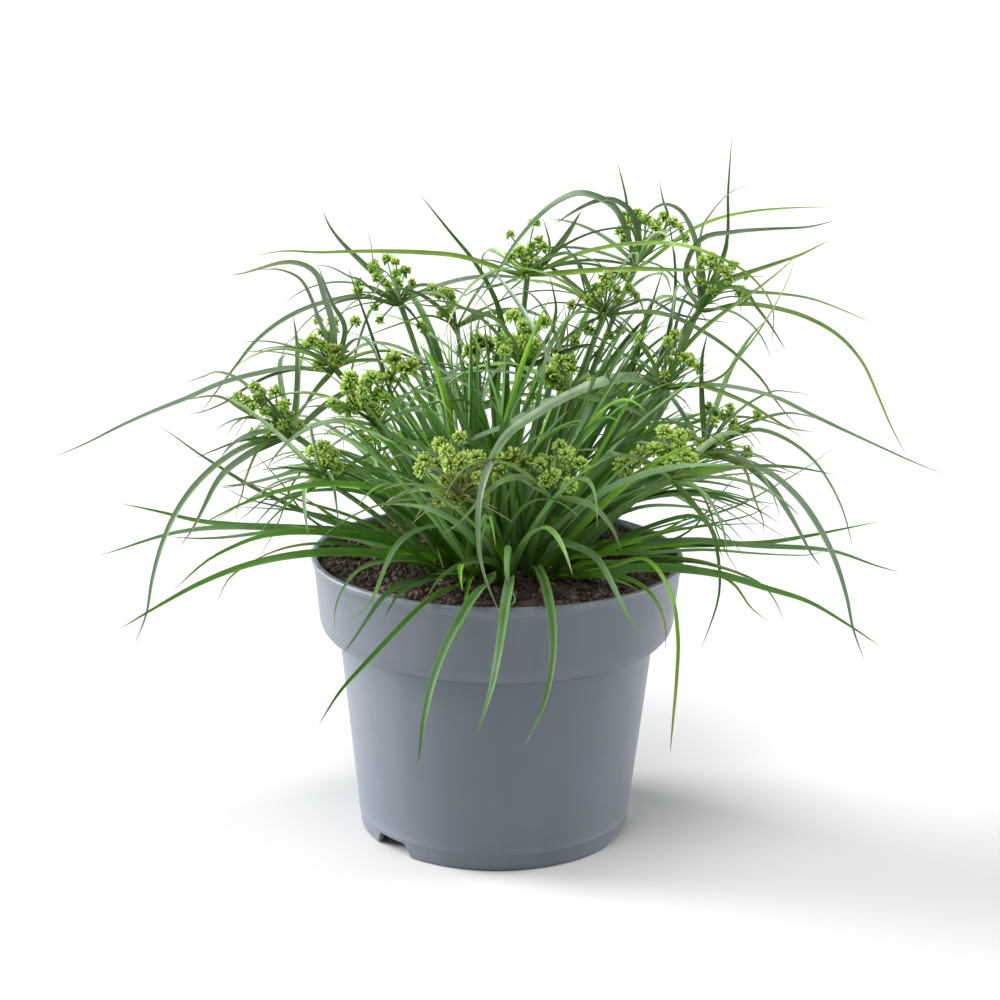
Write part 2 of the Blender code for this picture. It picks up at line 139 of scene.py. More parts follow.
def smooth_route(points, count):
    """Evenly spaced points on a smooth curve through the given ones."""
    pts = np.asarray(points, float)
    ends = np.vstack([2 * pts[0] - pts[1], pts, 2 * pts[-1] - pts[-2]])
    t = np.linspace(0, 1, 12, endpoint=False)[:, None]
    fine = [
        0.5 * (2 * b + (c - a) * t + (2 * a - 5 * b + 4 * c - d) * t**2 + (3 * b - a - 3 * c + d) * t**3)
        for a, b, c, d in zip(ends, ends[1:], ends[2:], ends[3:])
    ]
    fine = np.vstack(fine + [pts[-1:]])
    return evenly(fine, count)


def evenly(route, count):
    reach = np.r_[0.0, np.cumsum(np.linalg.norm(np.diff(route, axis=0), axis=1))]
    even = np.linspace(0, reach[-1], count)
    return np.stack([np.interp(even, reach, route[:, k]) for k in range(3)], 1)


def soil_top(x, y):
    """Height of the soil: a plug that stands close under the rim, rounded off towards the wall."""
    r = math.hypot(x, y)
    mound = SOIL_MOUND * math.cos(min(r / SOIL_SHOULDER, 1.0) * math.pi / 2) ** 2
    fall = min(max(r - SOIL_SHOULDER, 0.0) / (RIM_INSIDE - SOIL_SHOULDER), 1.0) ** 1.5
    ripple = math.sin(61 * x + 1.3) * math.cos(53 * y - 0.4) + 0.6 * math.sin(97 * y + 71 * x)
    return SOIL_EDGE + SOIL_RISE * (1 - fall) + mound + SOIL_TILT * y + 0.0005 * ripple


# Meshes built from swept rings

def tube_faces(rings, sides):
    i = np.arange(rings - 1)[:, None] * sides
    j = np.arange(sides)[None]
    k = (j + 1) % sides
    return np.stack([i + j, i + k, i + sides + k, i + sides + j], -1).reshape(-1, 4)


def tube_places(rings, sides):
    """Where each face corner of a swept strip lies in the strip's own cell of the bake map."""
    i = np.arange(rings - 1)[:, None, None] + np.array([0, 0, 1, 1])
    j = np.arange(sides)[None, :, None] + np.array([0, 1, 1, 0])
    u = 0.06 + 0.88 * np.broadcast_to(j / sides, (rings - 1, sides, 4))
    v = 0.04 + 0.92 * np.broadcast_to(i / (rings - 1), (rings - 1, sides, 4))
    quads = np.stack([u, v], -1).reshape(-1, 2)
    turn = np.arange(sides) * 2 * np.pi / sides
    ring = np.stack([np.cos(turn), np.sin(turn)], 1) * 0.012
    return np.vstack([quads, ring[::-1] + (0.02, 0.02), ring + (0.02, 0.98)])


class Pile:
    """Swept strips and stalks that become one mesh."""

    def __init__(self):
        self.verts, self.faces, self.places, self.fields = [], [], [], []
        self.total = 0
        self.count = 0

    def add(self, rings, **fields):
        """Adds one closed strip: rings is (n, sides, 3); a field is one number or an (n, sides) array."""
        n, sides = rings.shape[:2]
        quads = (tube_faces(n, sides) + self.total).tolist()
        last = self.total + (n - 1) * sides
        caps = [list(range(self.total, self.total + sides))[::-1], list(range(last, last + sides))]
        self.faces += quads + caps
        self.verts.append(rings.reshape(-1, 3))
        self.places.append(tube_places(n, sides))
        values = [np.broadcast_to(np.asarray(fields.get(f, 0.0), float), (n, sides)).ravel() for f in FIELDS]
        self.fields.append(np.stack(values, 1))
        self.total += n * sides
        self.count += 1

    def make(self, name, paint, slot, nodes=(), columns=6.0, sharp=55.0):
        wide = max(1, min(self.count, math.ceil(math.sqrt(self.count * columns))))
        high = math.ceil(self.count / wide)
        spots = []
        for index, spot in enumerate(self.places):
            spots.append((spot + (index % wide, index // wide)) / (wide, high))
        mesh = bpy.data.meshes.new(name)
        mesh.from_pydata(np.vstack(self.verts).tolist(), [], self.faces)
        layer = mesh.uv_layers.new(name="OFBake")
        layer.data.foreach_set("uv", np.vstack(spots).ravel())
        values = np.vstack(self.fields)
        for k, field in enumerate(FIELDS):
            mesh.attributes.new(field, "FLOAT", "POINT").data.foreach_set("value", values[:, k].copy())
        mesh.shade_smooth()
        mesh.set_sharp_from_angle(angle=math.radians(sharp))
        return placed(name, mesh, paint, nodes)


def placed(name, mesh, paint, nodes=()):
    """Puts a mesh in the scene as one piece of the plant or pot."""
    mesh.materials.append(paint)
    piece = bpy.data.objects.new(name, mesh)
    bpy.context.scene.collection.objects.link(piece)
    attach(piece, "root")
    if nodes:
        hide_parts(*nodes)
    return piece


def lie_of(route, wish, roll=0.0, twist=0.0):
    """For each point of a route: the way across the blade and the way up from it.
    The blade turns its upper side towards wish, as far as its own direction lets it."""
    ahead = unit(np.gradient(route, axis=0))
    wish = unit(np.asarray(wish, float))
    up = wish - ahead[0] * (wish @ ahead[0])
    if np.linalg.norm(up) < 0.15:
        up = SKY - ahead[0] * (SKY @ ahead[0]) + np.array([0.0, 0.2, 0.0])
    ups = []
    for way in ahead:
        pull = wish - way * (wish @ way)
        up = unit(up) + 0.30 * pull
        up = unit(up - way * (up @ way))
        ups.append(up)
    ups = np.array(ups)
    across = np.cross(ahead, ups)
    turn = roll + twist * np.linspace(0, 1, len(route))
    c, s = np.cos(turn)[:, None], np.sin(turn)[:, None]
    return across * c + ups * s, ups * c - across * s


def width_along(share, base=0.6, taper=2.3):
    return np.minimum(1.0, base + 2.2 * share) * (1 - share**taper) ** 0.9


def add_blade(pile, points, width, tone, rng, wish, roll=0.0, twist=0.0, fold=0.26, rings=BLADE_RINGS, base=0.6, vary=0.23, taper=2.3):
    route = smooth_route(points, rings)
    share = np.linspace(0, 1, rings)
    length = np.linalg.norm(np.diff(route, axis=0), axis=1).sum()
    across, up = lie_of(route, wish, roll, twist)
    wave = 1 + 0.04 * np.sin(share * (9 + 6 * rng.random()) + 6 * rng.random())
    half = 0.5 * width * width_along(share, base, taper) * wave + 0.00004
    valley = fold * 2 * half * (1 - 0.35 * share)
    lift = np.abs(BLADE_ACROSS) ** 1.25 - 0.45
    thick = BLADE_THICK[None] * np.minimum(1.0, half / 0.0015)[:, None]
    rise = lift[None] * valley[:, None] - thick
    rings_at = (
        route[:, None]
        + across[:, None] * (half[:, None] * BLADE_ACROSS[None])[..., None]
        + up[:, None] * rise[..., None]
    )
    tint, bloom, dry_from = TONES[tone]
    tint = min(max(tint + vary * rng.standard_normal(), 0.0), 1.0)
    bloom = min(max(bloom + 1.3 * vary * rng.standard_normal(), 0.0), 1.0 if bloom < 1.1 else 1.38)
    dry_from = dry_from - 0.08 * rng.random() * (dry_from < 0.9)
    dry = np.clip((share - dry_from) / max(1.0 - dry_from, 0.02), 0, 1)
    pile.add(
        rings_at,
        along=(share * min(length / 0.25, 1.6))[:, None] * np.ones(8),
        across=BLADE_ACROSS[None] * np.ones((rings, 1)),
        under=BLADE_UNDER[None] * np.ones((rings, 1)),
        tint=tint,
        bloom=bloom,
        dry=dry[:, None] * np.ones(8),
    )


def add_stalk(pile, route, radii, sides, tint, bloom=0.1, dry=0.0, ribs=0.0):
    """A round or three-sided stalk along a route."""
    across, up = lie_of(route, (0.0, -1.0, 0.1))
    turn = -np.arange(sides) * 2 * np.pi / sides
    size = np.asarray(radii)[:, None] * (1 + ribs * np.cos(3 * turn))[None]
    rings = route[:, None] + across[:, None] * (size * np.cos(turn))[..., None]
    rings = rings + up[:, None] * (size * np.sin(turn))[..., None]
    share = np.linspace(0, 1, len(route))[:, None] * np.ones(sides)
    pile.add(rings, along=share, across=np.cos(turn)[None] * np.ones((len(route), 1)), tint=tint, bloom=bloom, dry=dry)


# Materials

class Paint:
    """A node material built round one Principled shader."""

    def __init__(self, name, **fixed):
        self.material = bpy.data.materials.new(name)
        self.material.use_nodes = True
        self.tree = self.material.node_tree
        self.shader = self.tree.nodes["Principled BSDF"]
        for key, value in fixed.items():
            self.shader.inputs[key.replace("_", " ")].default_value = value

    def node(self, kind, inputs=(), **settings):
        made = self.tree.nodes.new("ShaderNode" + kind)
        for key, value in settings.items():
            setattr(made, key, value)
        for key, value in dict(inputs).items():
            self.feed(made.inputs[key], value)
        return made

    def feed(self, socket, value):
        if isinstance(value, bpy.types.NodeSocket):
            self.tree.links.new(value, socket)
        elif isinstance(value, tuple) and len(value) == 3 and socket.type == "RGBA":
            socket.default_value = (*value, 1.0)
        else:
            socket.default_value = value

    def field(self, name):
        return self.node("Attribute", attribute_name=name).outputs["Fac"]

    def math(self, operation, a, b=0.0, clamp=False):
        return self.node("Math", {0: a, 1: b}, operation=operation, use_clamp=clamp).outputs[0]

    def blend(self, share, a, b, kind="MIX"):
        made = self.node("Mix", {0: share, 6: a, 7: b}, data_type="RGBA", blend_type=kind)
        return made.outputs[2]

    def ramp(self, share, stops):
        made = self.node("ValToRGB", {0: share})
        band = made.color_ramp
        while len(band.elements) < len(stops):
            band.elements.new(0.5)
        for element, (place, colour) in zip(band.elements, stops):
            element.position = place
            element.color = (*colour, 1.0)
        return made.outputs[0]

    def range(self, value, low, high, to_low, to_high):
        ends = {0: value, 1: low, 2: high, 3: to_low, 4: to_high}
        return self.node("MapRange", ends, clamp=True).outputs[0]

    def grain(self, scale, detail=3.0, stretch=(1.0, 1.0, 1.0), rough=0.55):
        place = self.node("TexCoord").outputs["Object"]
        if stretch != (1.0, 1.0, 1.0):
            place = self.node("Mapping", {"Vector": place, "Scale": stretch}).outputs[0]
        ends = {"Vector": place, "Scale": scale, "Detail": detail, "Roughness": rough}
        return self.node("TexNoise", ends).outputs[0]

    def bump(self, height, distance, strength=1.0):
        made = self.node("Bump", {"Height": height, "Distance": distance, "Strength": strength})
        self.feed(self.shader.inputs["Normal"], made.outputs[0])

    def finish(self, colour, roughness):
        self.feed(self.shader.inputs["Base Color"], colour)
        self.feed(self.shader.inputs["Roughness"], roughness)
        return self.material


def blade_paint(name, dark, middle, light, waxy, shine, rough, foot_reach, foot_share):
    """Grassy blade: parallel veins, keel line, waxy bloom, pale foot, dry tip."""
    p = Paint(name, Specular_IOR_Level=shine)
    along, across, tint = p.field("along"), p.field("across"), p.field("tint")
    base = p.ramp(tint, ((0.0, dark), (0.5, middle), (1.0, light)))
    mottle = p.range(p.grain(70.0, 4.0), 0.3, 0.7, 0.78, 1.24)
    base = p.blend(1.0, base, p.node("CombineColor", {0: mottle, 1: mottle, 2: mottle}).outputs[0], "MULTIPLY")
    veins = p.math("SINE", p.math("MULTIPLY", across, 26.0))
    base = p.blend(p.range(veins, -1.0, 1.0, 0.0, 0.26), base, tuple(c * 2.3 for c in middle))
    patch = p.range(p.grain(26.0, 2.0), 0.32, 0.66, 0.35, 1.0)
    bloom = p.math("MULTIPLY", p.field("bloom"), patch)
    base = p.blend(p.math("MULTIPLY", bloom, 0.72), base, waxy)
    keel = p.range(p.math("ABSOLUTE", across), 0.0, 0.14, 0.42, 0.0)
    base = p.blend(keel, base, tuple(c * 0.55 for c in middle))
    base = p.blend(p.math("MULTIPLY", p.field("under"), 0.28), base, tuple(0.55 * a + 0.45 * b for a, b in zip(light, waxy)))
    foot = p.range(along, 0.0, foot_reach, foot_share, 0.0)
    base = p.blend(foot, base, (0.170, 0.370, 0.008))
    dry = p.math("MULTIPLY", p.field("dry"), p.range(p.grain(300.0, 2.0), 0.3, 0.6, 0.75, 1.0))
    tip = p.ramp(p.field("dry"), ((0.0, (0.42, 0.44, 0.07)), (0.55, (0.50, 0.40, 0.12)), (1.0, (0.30, 0.19, 0.09))))
    base = p.blend(dry, base, tip)
    edge = p.range(p.math("ABSOLUTE", across), 0.86, 1.0, 0.0, 0.35)
    base = p.blend(edge, base, tuple(min(1.0, c * 1.6) for c in light))
    p.bump(p.math("ADD", p.math("MULTIPLY", veins, 0.5), p.grain(900.0, 2.0)), 0.00007)
    return p.finish(base, p.range(p.grain(160.0, 3.0), 0.3, 0.7, rough - 0.07, rough + 0.12))


leaf_paint = blade_paint(
    "leaf_green", (0.009, 0.046, 0.003), (0.060, 0.178, 0.006), (0.240, 0.500, 0.010), (0.305, 0.445, 0.295), 0.24, 0.33, 0.17, 0.75)
bract_paint = blade_paint(
    "bract_green", (0.022, 0.064, 0.014), (0.100, 0.182, 0.040), (0.225, 0.390, 0.030), (0.345, 0.462, 0.365), 0.38, 0.31, 0.15, 0.45)


def stalk_paint():
    p = Paint("culm_green", Specular_IOR_Level=0.45)
    base = p.ramp(p.field("tint"), ((0.0, (0.030, 0.085, 0.014)), (0.6, (0.080, 0.180, 0.028)), (1.0, (0.24, 0.34, 0.08))))
    streak = p.range(p.grain(220.0, 4.0, (1.0, 1.0, 0.06)), 0.3, 0.7, 0.0, 0.5)
    base = p.blend(streak, base, (0.13, 0.22, 0.07))
    base = p.blend(p.range(p.field("along"), 0.0, 0.18, 0.7, 0.0), base, (0.20, 0.26, 0.07))
    base = p.blend(p.field("dry"), base, (0.34, 0.27, 0.12))
    p.bump(p.grain(700.0, 3.0, (1.0, 1.0, 0.08)), 0.00012)
    return p.finish(base, p.range(p.grain(180.0), 0.3, 0.7, 0.36, 0.55))


def flower_paint():
    """Spikelets: green scales that lighten to the tip, with painted shade darkening their feet deep in the cluster,
    olive and brown where dry.
    """
    p = Paint("flower_green", Specular_IOR_Level=0.10)
    along = p.field("along")
    base = p.ramp(p.field("tint"), ((0.0, (0.072, 0.250, 0.010)), (0.5, (0.225, 0.560, 0.030)), (1.0, (0.660, 0.860, 0.200))))
    base = p.blend(p.range(along, 0.50, 1.0, 0.0, 0.70), base, (0.78, 0.93, 0.30))
    # Painted shade: each spikelet darkens towards its foot, where it lies deep in the cluster.
    base = p.blend(p.range(along, 0.0, 0.60, 0.92, 0.0), base, (0.014, 0.045, 0.003))
    scales = p.math("SINE", p.math("MULTIPLY", along, 34.0))
    base = p.blend(p.range(scales, -1.0, 1.0, 0.0, 0.30), base, (0.10, 0.17, 0.02))
    old = p.ramp(along, ((0.30, (0.055, 0.070, 0.010)), (0.75, (0.30, 0.34, 0.055)), (1.0, (0.74, 0.74, 0.30))))
    base = p.blend(p.field("dry"), base, old)
    p.bump(p.math("ADD", p.math("MULTIPLY", scales, 0.6), p.grain(1500.0, 2.0)), 0.00016)
    return p.finish(base, p.range(p.grain(400.0), 0.3, 0.7, 0.50, 0.72))


def soil_paint():
    p = Paint("potting_soil", Specular_IOR_Level=0.30)
    base = p.ramp(
        p.grain(420.0, 6.0, rough=0.7),
        ((0.25, (0.014, 0.009, 0.008)), (0.5, (0.068, 0.042, 0.036)), (0.72, (0.175, 0.118, 0.102))),
    )
    tint = p.ramp(
        p.field("tint"),
        ((0.0, (0.010, 0.006, 0.006)), (0.40, (0.088, 0.052, 0.046)), (0.75, (0.210, 0.136, 0.118)), (1.0, (0.36, 0.27, 0.23))),
    )
    base = p.blend(0.55, base, tint)
    base = p.blend(p.range(p.field("dry"), 0.4, 0.6, 0.0, 1.0), base, (0.72, 0.71, 0.67))
    p.bump(p.grain(900.0, 5.0, rough=0.7), 0.0006)
    return p.finish(base, p.range(p.grain(600.0, 3.0), 0.3, 0.7, 0.72, 0.98))


def pot_paint():
    """Satin moulded plastic: faint flow marks, fine texture, painted shade darkening it towards the top, dusty foot and
    a painted highlight along the lip.
    """
    p = Paint("pot_plastic", Specular_IOR_Level=0.42)
    place = p.node("SeparateXYZ", {0: p.node("TexCoord").outputs["Object"]}).outputs
    cloud = p.range(p.grain(9.0, 4.0, (1.0, 1.0, 2.2)), 0.3, 0.7, 0.0, 1.0)
    base = p.blend(cloud, (0.128, 0.152, 0.186), (0.148, 0.173, 0.208))
    # Painted shade: the plastic is darkened towards the top, where the collar gets less light from the floor and lies
    # in the plant's shade.
    base = p.blend(p.range(place[2], 0.020, 0.170, 0.0, 0.26), base, (0.070, 0.084, 0.104))
    flow = p.range(p.grain(60.0, 5.0, (1.0, 1.0, 0.05)), 0.35, 0.7, 0.0, 0.16)
    base = p.blend(flow, base, (0.205, 0.232, 0.262))
    dust = p.math("MULTIPLY", p.range(place[2], 0.0, 0.012, 0.40, 0.0), p.range(p.grain(150.0, 5.0), 0.45, 0.72, 0.0, 0.6))
    base = p.blend(dust, base, (0.24, 0.25, 0.26))
    # Painted highlight: the top of the lip is lightened in patches, standing in for light caught on the rim.
    lip_highlight = p.math("MULTIPLY", p.range(place[2], 0.170, 0.1764, 0.0, 0.4), p.range(p.grain(90.0, 4.0), 0.40, 0.75, 0.1, 1.0))
    base = p.blend(lip_highlight, base, (0.32, 0.35, 0.38))
    scratch = p.range(p.grain(320.0, 2.0, (0.16, 0.16, 1.0)), 0.68, 0.76, 0.0, 0.10)
    base = p.blend(scratch, base, (0.23, 0.255, 0.285))
    p.bump(p.math("ADD", p.grain(1100.0, 3.0), p.math("MULTIPLY", flow, 0.7)), 0.00005)
    rough = p.math("ADD", p.range(p.grain(45.0, 5.0), 0.3, 0.7, 0.36, 0.48), p.math("MULTIPLY", dust, 0.25))
    return p.finish(base, rough)


culm_paint = stalk_paint()
head_paint = flower_paint()
ground_paint = soil_paint()
plastic_paint = pot_paint()


# Pot

def wall_radius(z):
    return BASE_RADIUS + WALL_SLOPE * z


def notch_rise(bearing):
    """How far the foot is cut away at a bearing from the front."""
    best = 0.0
    for middle, half_width in NOTCHES:
        off = abs((bearing - middle + 180) % 360 - 180)
        run = math.radians(off) * BASE_RADIUS
        share = min(max((half_width - run) / NOTCH_SLANT, 0.0), 1.0)
        best = max(best, NOTCH_HEIGHT * share * share * (3 - 2 * share))
    return best


def pot_profile():
    """(radius, height) from under the base, up the outside, over the lip and down the inside."""
    foot = BASE_RADIUS - FOOT_RING
    low = [(0.020, RECESS), (0.050, RECESS), (foot - 0.0012, RECESS), (foot - 0.0003, RECESS - 0.0004),
           (foot, RECESS - 0.0012), (foot, 0.0030), (foot, 0.0007), (foot + 0.0004, 0.0001), (foot + 0.0009, 0.0),
           (BASE_RADIUS - 0.0012, 0.0), (BASE_RADIUS - 0.0004, 0.0002), (BASE_RADIUS, 0.0008)]
    low += [(wall_radius(z), z) for z in (0.0020, 0.0045, 0.0070, 0.0092)]
    low += [(wall_radius(0.0100) + 0.0001, 0.0100), (wall_radius(0.0105) + 0.0004, 0.0105),
            (wall_radius(0.0111) + 0.0004, 0.0111), (wall_radius(0.0118), 0.0118)]
    wall = [(wall_radius(z), z) for z in np.linspace(0.018, SHOULDER_FOOT - 0.0030, 14)]
    seam = [(wall_radius(SHOULDER_FOOT - 0.0014), SHOULDER_FOOT - 0.0014),
            (wall_radius(SHOULDER_FOOT) - 0.0004, SHOULDER_FOOT - 0.0006), (SHOULDER_FOOT_RADIUS, SHOULDER_FOOT)]
    reach, drop = COLLAR_LOW_RADIUS - SHOULDER_FOOT_RADIUS, SHOULDER_TOP - SHOULDER_FOOT
    turns = [math.radians(90 * s / 10) for s in range(9, -1, -1)]
    shoulder = [(SHOULDER_FOOT_RADIUS + reach * math.cos(t) ** 0.8, SHOULDER_TOP - drop * math.sin(t)) for t in turns]
    collar = [(COLLAR_LOW_RADIUS + (COLLAR_TOP_RADIUS - COLLAR_LOW_RADIUS) * s, SHOULDER_TOP + (0.1704 - SHOULDER_TOP) * s)
              for s in np.linspace(0.12, 1.0, 7)]
    band = [(0.1142, 0.1708), (0.1147, 0.1713), (0.1153, 0.1722), (0.1157, 0.1733)]
    lip = [(LIP_RADIUS, 0.1744), (LIP_RADIUS, 0.1754), (0.1156, 0.1760), (0.1150, POT_HEIGHT),
           (0.1128, POT_HEIGHT), (0.1122, 0.1761), (0.1119, 0.1754)]
    inner = [(0.1118 - (0.0030 - 0.0) * s, 0.1750 - 0.0350 * s) for s in np.linspace(0.1, 1.0, 8)]
    inside = [(0.0964, SHOULDER_FOOT + WALL), (wall_radius(RECESS) - WALL, RECESS + WALL), (0.040, RECESS + WALL)]
    return low + wall + seam + shoulder + collar + band + lip + inner + inside


def build_pot():
    bearings = list(np.linspace(0, 360, 144, endpoint=False))
    for middle, half_width in NOTCHES:
        slope = np.linspace(half_width - NOTCH_SLANT - 0.0012, half_width + 0.0012, 15) / BASE_RADIUS
        bearings += [(middle + sign * math.degrees(s)) % 360 for s in slope for sign in (1, -1)]
    bearings = sorted(set(round(b, 2) for b in bearings))
    bearings = [b for i, b in enumerate(bearings) if i == 0 or b - bearings[i - 1] > 0.12]
    profile = pot_profile()
    verts, faces = [], []
    for bearing in bearings:
        angle = math.radians(bearing - 90.0)
        rise = notch_rise(bearing)
        for index, (r, z) in enumerate(profile):
            if index > 3 and z < RECESS and index < 20:
                lifted = rise + z * (1 - rise / RECESS)
                r = r + WALL_SLOPE * (lifted - z) * (index > 9)
                z = lifted
            verts.append((r * math.cos(angle), r * math.sin(angle), z))
    n, m = len(bearings), len(profile)
    for i in range(n):
        k = (i + 1) % n
        for j in range(m - 1):
            faces.append((i * m + j, k * m + j, k * m + j + 1, i * m + j + 1))
    verts += [(0.0, 0.0, RECESS), (0.0, 0.0, RECESS + WALL)]
    for i in range(n):
        k = (i + 1) % n
        faces.append((n * m, k * m, i * m))
        faces.append((n * m + 1, i * m + m - 1, k * m + m - 1))
    mesh = bpy.data.meshes.new("nursery_pot")
    mesh.from_pydata(verts, [], faces)
    mesh.shade_smooth()
    mesh.set_sharp_from_angle(angle=math.radians(42))
    placed("nursery_pot", mesh, plastic_paint, ("pot",))


# Soil

def build_soil():
    rings, sectors = 84, 300
    verts, faces = [(0.0, 0.0, soil_top(0.0, 0.0))], []
    for i in range(1, rings + 1):
        r = SOIL_RADIUS * i / rings
        for j in range(sectors):
            angle = 2 * math.pi * (j + 0.5 * (i % 2)) / sectors
            x, y = r * math.cos(angle), r * math.sin(angle)
            near, _ = noise.voronoi(Vector((x, y, 0.3)) * 340)
            lump = (0.55 - min(near[0], 1.0)) * 0.0016
            hill = noise.fractal(Vector((x, y, 0.9)) * 60, 0.9, 2.1, 4) * 0.0016
            fall = 1.0 if i < rings else 0.3
            verts.append((x, y, soil_top(x, y) + (lump + hill) * fall))
    low = [(0.1088, 0.142), (0.0960, 0.1276), (wall_radius(RECESS) - WALL - 0.0004, 0.0126), (0.030, 0.0126)]
    for r, z in low:
        for j in range(sectors):
            angle = 2 * math.pi * (j + 0.5 * (rings % 2)) / sectors
            verts.append((r * math.cos(angle), r * math.sin(angle), z))
    total = rings + len(low)
    for j in range(sectors):
        faces.append((0, 1 + j, 1 + (j + 1) % sectors))
    for i in range(total - 1):
        a, b = 1 + i * sectors, 1 + (i + 1) * sectors
        for j in range(sectors):
            k = (j + 1) % sectors
            faces.append((a + j, b + j, b + k, a + k))
    last = 1 + (total - 1) * sectors
    faces.append(tuple(range(last, last + sectors))[::-1])
    mesh = bpy.data.meshes.new("soil_bed")
    mesh.from_pydata(verts, [], faces)
    tint = [0.5 + 0.5 * noise.noise(Vector(v) * 500) for v in verts]
    mesh.attributes.new("tint", "FLOAT", "POINT").data.foreach_set("value", tint)
    mesh.shade_smooth()
    placed("soil_bed", mesh, ground_paint, ("potting_soil",))


def icosahedron():
    g = (1 + 5**0.5) / 2
    v = np.array([(-1, g, 0), (1, g, 0), (-1, -g, 0), (1, -g, 0), (0, -1, g), (0, 1, g),
                  (0, -1, -g), (0, 1, -g), (g, 0, -1), (g, 0, 1), (-g, 0, -1), (-g, 0, 1)], float)
    f = [(0, 11, 5), (0, 5, 1), (0, 1, 7), (0, 7, 10), (0, 10, 11), (1, 5, 9), (5, 11, 4), (11, 10, 2),
         (10, 7, 6), (7, 1, 8), (3, 9, 4), (3, 4, 2), (3, 2, 6), (3, 6, 8), (3, 8, 9), (4, 9, 5),
         (2, 4, 11), (6, 2, 10), (8, 6, 7), (9, 8, 1)]
    return unit(v), np.array(f)


def build_crumbs(count=5200):
    """Bark and peat crumbs, each a rough lump of its own shape and turn."""
    rng = np.random.default_rng(11)
    shape, faces = icosahedron()
    r = (SOIL_RADIUS - 0.002) * np.sqrt(rng.random(count) * 0.93 + 0.07)
    turn = rng.random(count) * 2 * np.pi
    size = 0.0008 + 0.0014 * rng.random(count) ** 2 + 0.0014 * (rng.random(count) < 0.06)
    pale = rng.random(count) < 0.012
    size[pale] = 0.00055
    x, y = r * np.cos(turn), r * np.sin(turn)
    z = np.array([soil_top(a, b) for a, b in zip(x, y)]) + size * 0.25
    spin = rng.standard_normal((count, 4))
    w, i, j, k = (spin / np.linalg.norm(spin, axis=1, keepdims=True)).T
    turned = np.stack([
        np.stack([1 - 2 * (j * j + k * k), 2 * (i * j - k * w), 2 * (i * k + j * w)], 1),
        np.stack([2 * (i * j + k * w), 1 - 2 * (i * i + k * k), 2 * (j * k - i * w)], 1),
        np.stack([2 * (i * k - j * w), 2 * (j * k + i * w), 1 - 2 * (i * i + j * j)], 1)], 1)
    stretch = np.stack([0.7 + 0.9 * rng.random(count), 0.6 + 0.5 * rng.random(count), 0.45 + 0.4 * rng.random(count)], 1)
    lumps = shape[None] * (0.78 + 0.44 * rng.random((count, 12, 1))) * (stretch * size[:, None])[:, None]
    points = np.einsum("nij,nvj->nvi", turned, lumps) + np.stack([x, y, z], 1)[:, None]
    mesh = bpy.data.meshes.new("soil_crumbs")
    all_faces = (faces[None] + 12 * np.arange(count)[:, None, None]).reshape(-1, 3)
    mesh.from_pydata(points.reshape(-1, 3).tolist(), [], all_faces.tolist())
    mesh.attributes.new("tint", "FLOAT", "POINT").data.foreach_set("value", np.repeat(rng.random(count) ** 1.9, 12))
    mesh.attributes.new("dry", "FLOAT", "POINT").data.foreach_set("value", np.repeat(pale.astype(float), 12))
    side = math.ceil(math.sqrt(count))
    cell = np.stack([np.arange(count) % side, np.arange(count) // side], 1)[:, None, None] / side
    tri = np.array([(0.0, 0.0), (1.0, 0.0), (0.5, 1.0)])
    spot = np.stack([np.arange(20) % 5, np.arange(20) // 5], 1)[:, None]
    local = (spot + 0.1 + 0.8 * tri[None]) / (5, 4)
    places = cell + 0.02 / side + 0.96 * local[None] / side
    layer = mesh.uv_layers.new(name="OFBake")
    layer.data.foreach_set("uv", places.ravel())
    placed("soil_crumbs", mesh, ground_paint)


# What the solids say

def welded(node):
    """A solid's separate corners, and which of them are neighbours."""
    mesh = NODES[node].data
    flat = np.empty(len(mesh.vertices) * 3)
    mesh.vertices.foreach_get("co", flat)
    corners, which = np.unique(np.round(flat.reshape(-1, 3), 6), axis=0, return_inverse=True)
    which = which.ravel()
    near = [set() for _ in corners]
    for face in mesh.polygons:
        ids = [int(which[v]) for v in face.vertices]
        for a in ids:
            near[a].update(b for b in ids if b != a)
    return corners, near


def centreline(node):
    """The middle of a blade's rings from foot to tip, and its greatest width."""
    corners, near = welded(node)
    for tip in range(len(corners)):
        if len(near[tip]) != 4:
            continue
        rings, done = [[tip]], {tip}
        while True:
            front = sorted({b for a in rings[-1] for b in near[a]} - done)
            if not front:
                break
            rings.append(front)
            done.update(front)
        if all(len(r) == 4 for r in rings[1:]) and len(done) == len(corners):
            middle = [corners[r].mean(0) for r in rings]
            widest = max(np.linalg.norm(corners[r][:, None] - corners[r][None], axis=2).max() for r in rings)
            return np.array(middle[::-1]), widest
    raise SystemExit(f"no blade found in {node}")


def culm_ends(node):
    corners, _ = welded(node)
    order = corners[np.argsort(corners[:, 2])]
    return order[:6].mean(0), order[-6:].mean(0)


def culm_route(foot, fork, count=16):
    """A culm leaves the soil steeply and leans out as it rises."""
    bend = foot + np.array([(fork[0] - foot[0]) * 0.34, (fork[1] - foot[1]) * 0.34, (fork[2] - foot[2]) * 0.55])
    t = np.linspace(0, 1, count)[:, None]
    return foot * (1 - t) ** 2 + bend * 2 * t * (1 - t) + fork * t**2


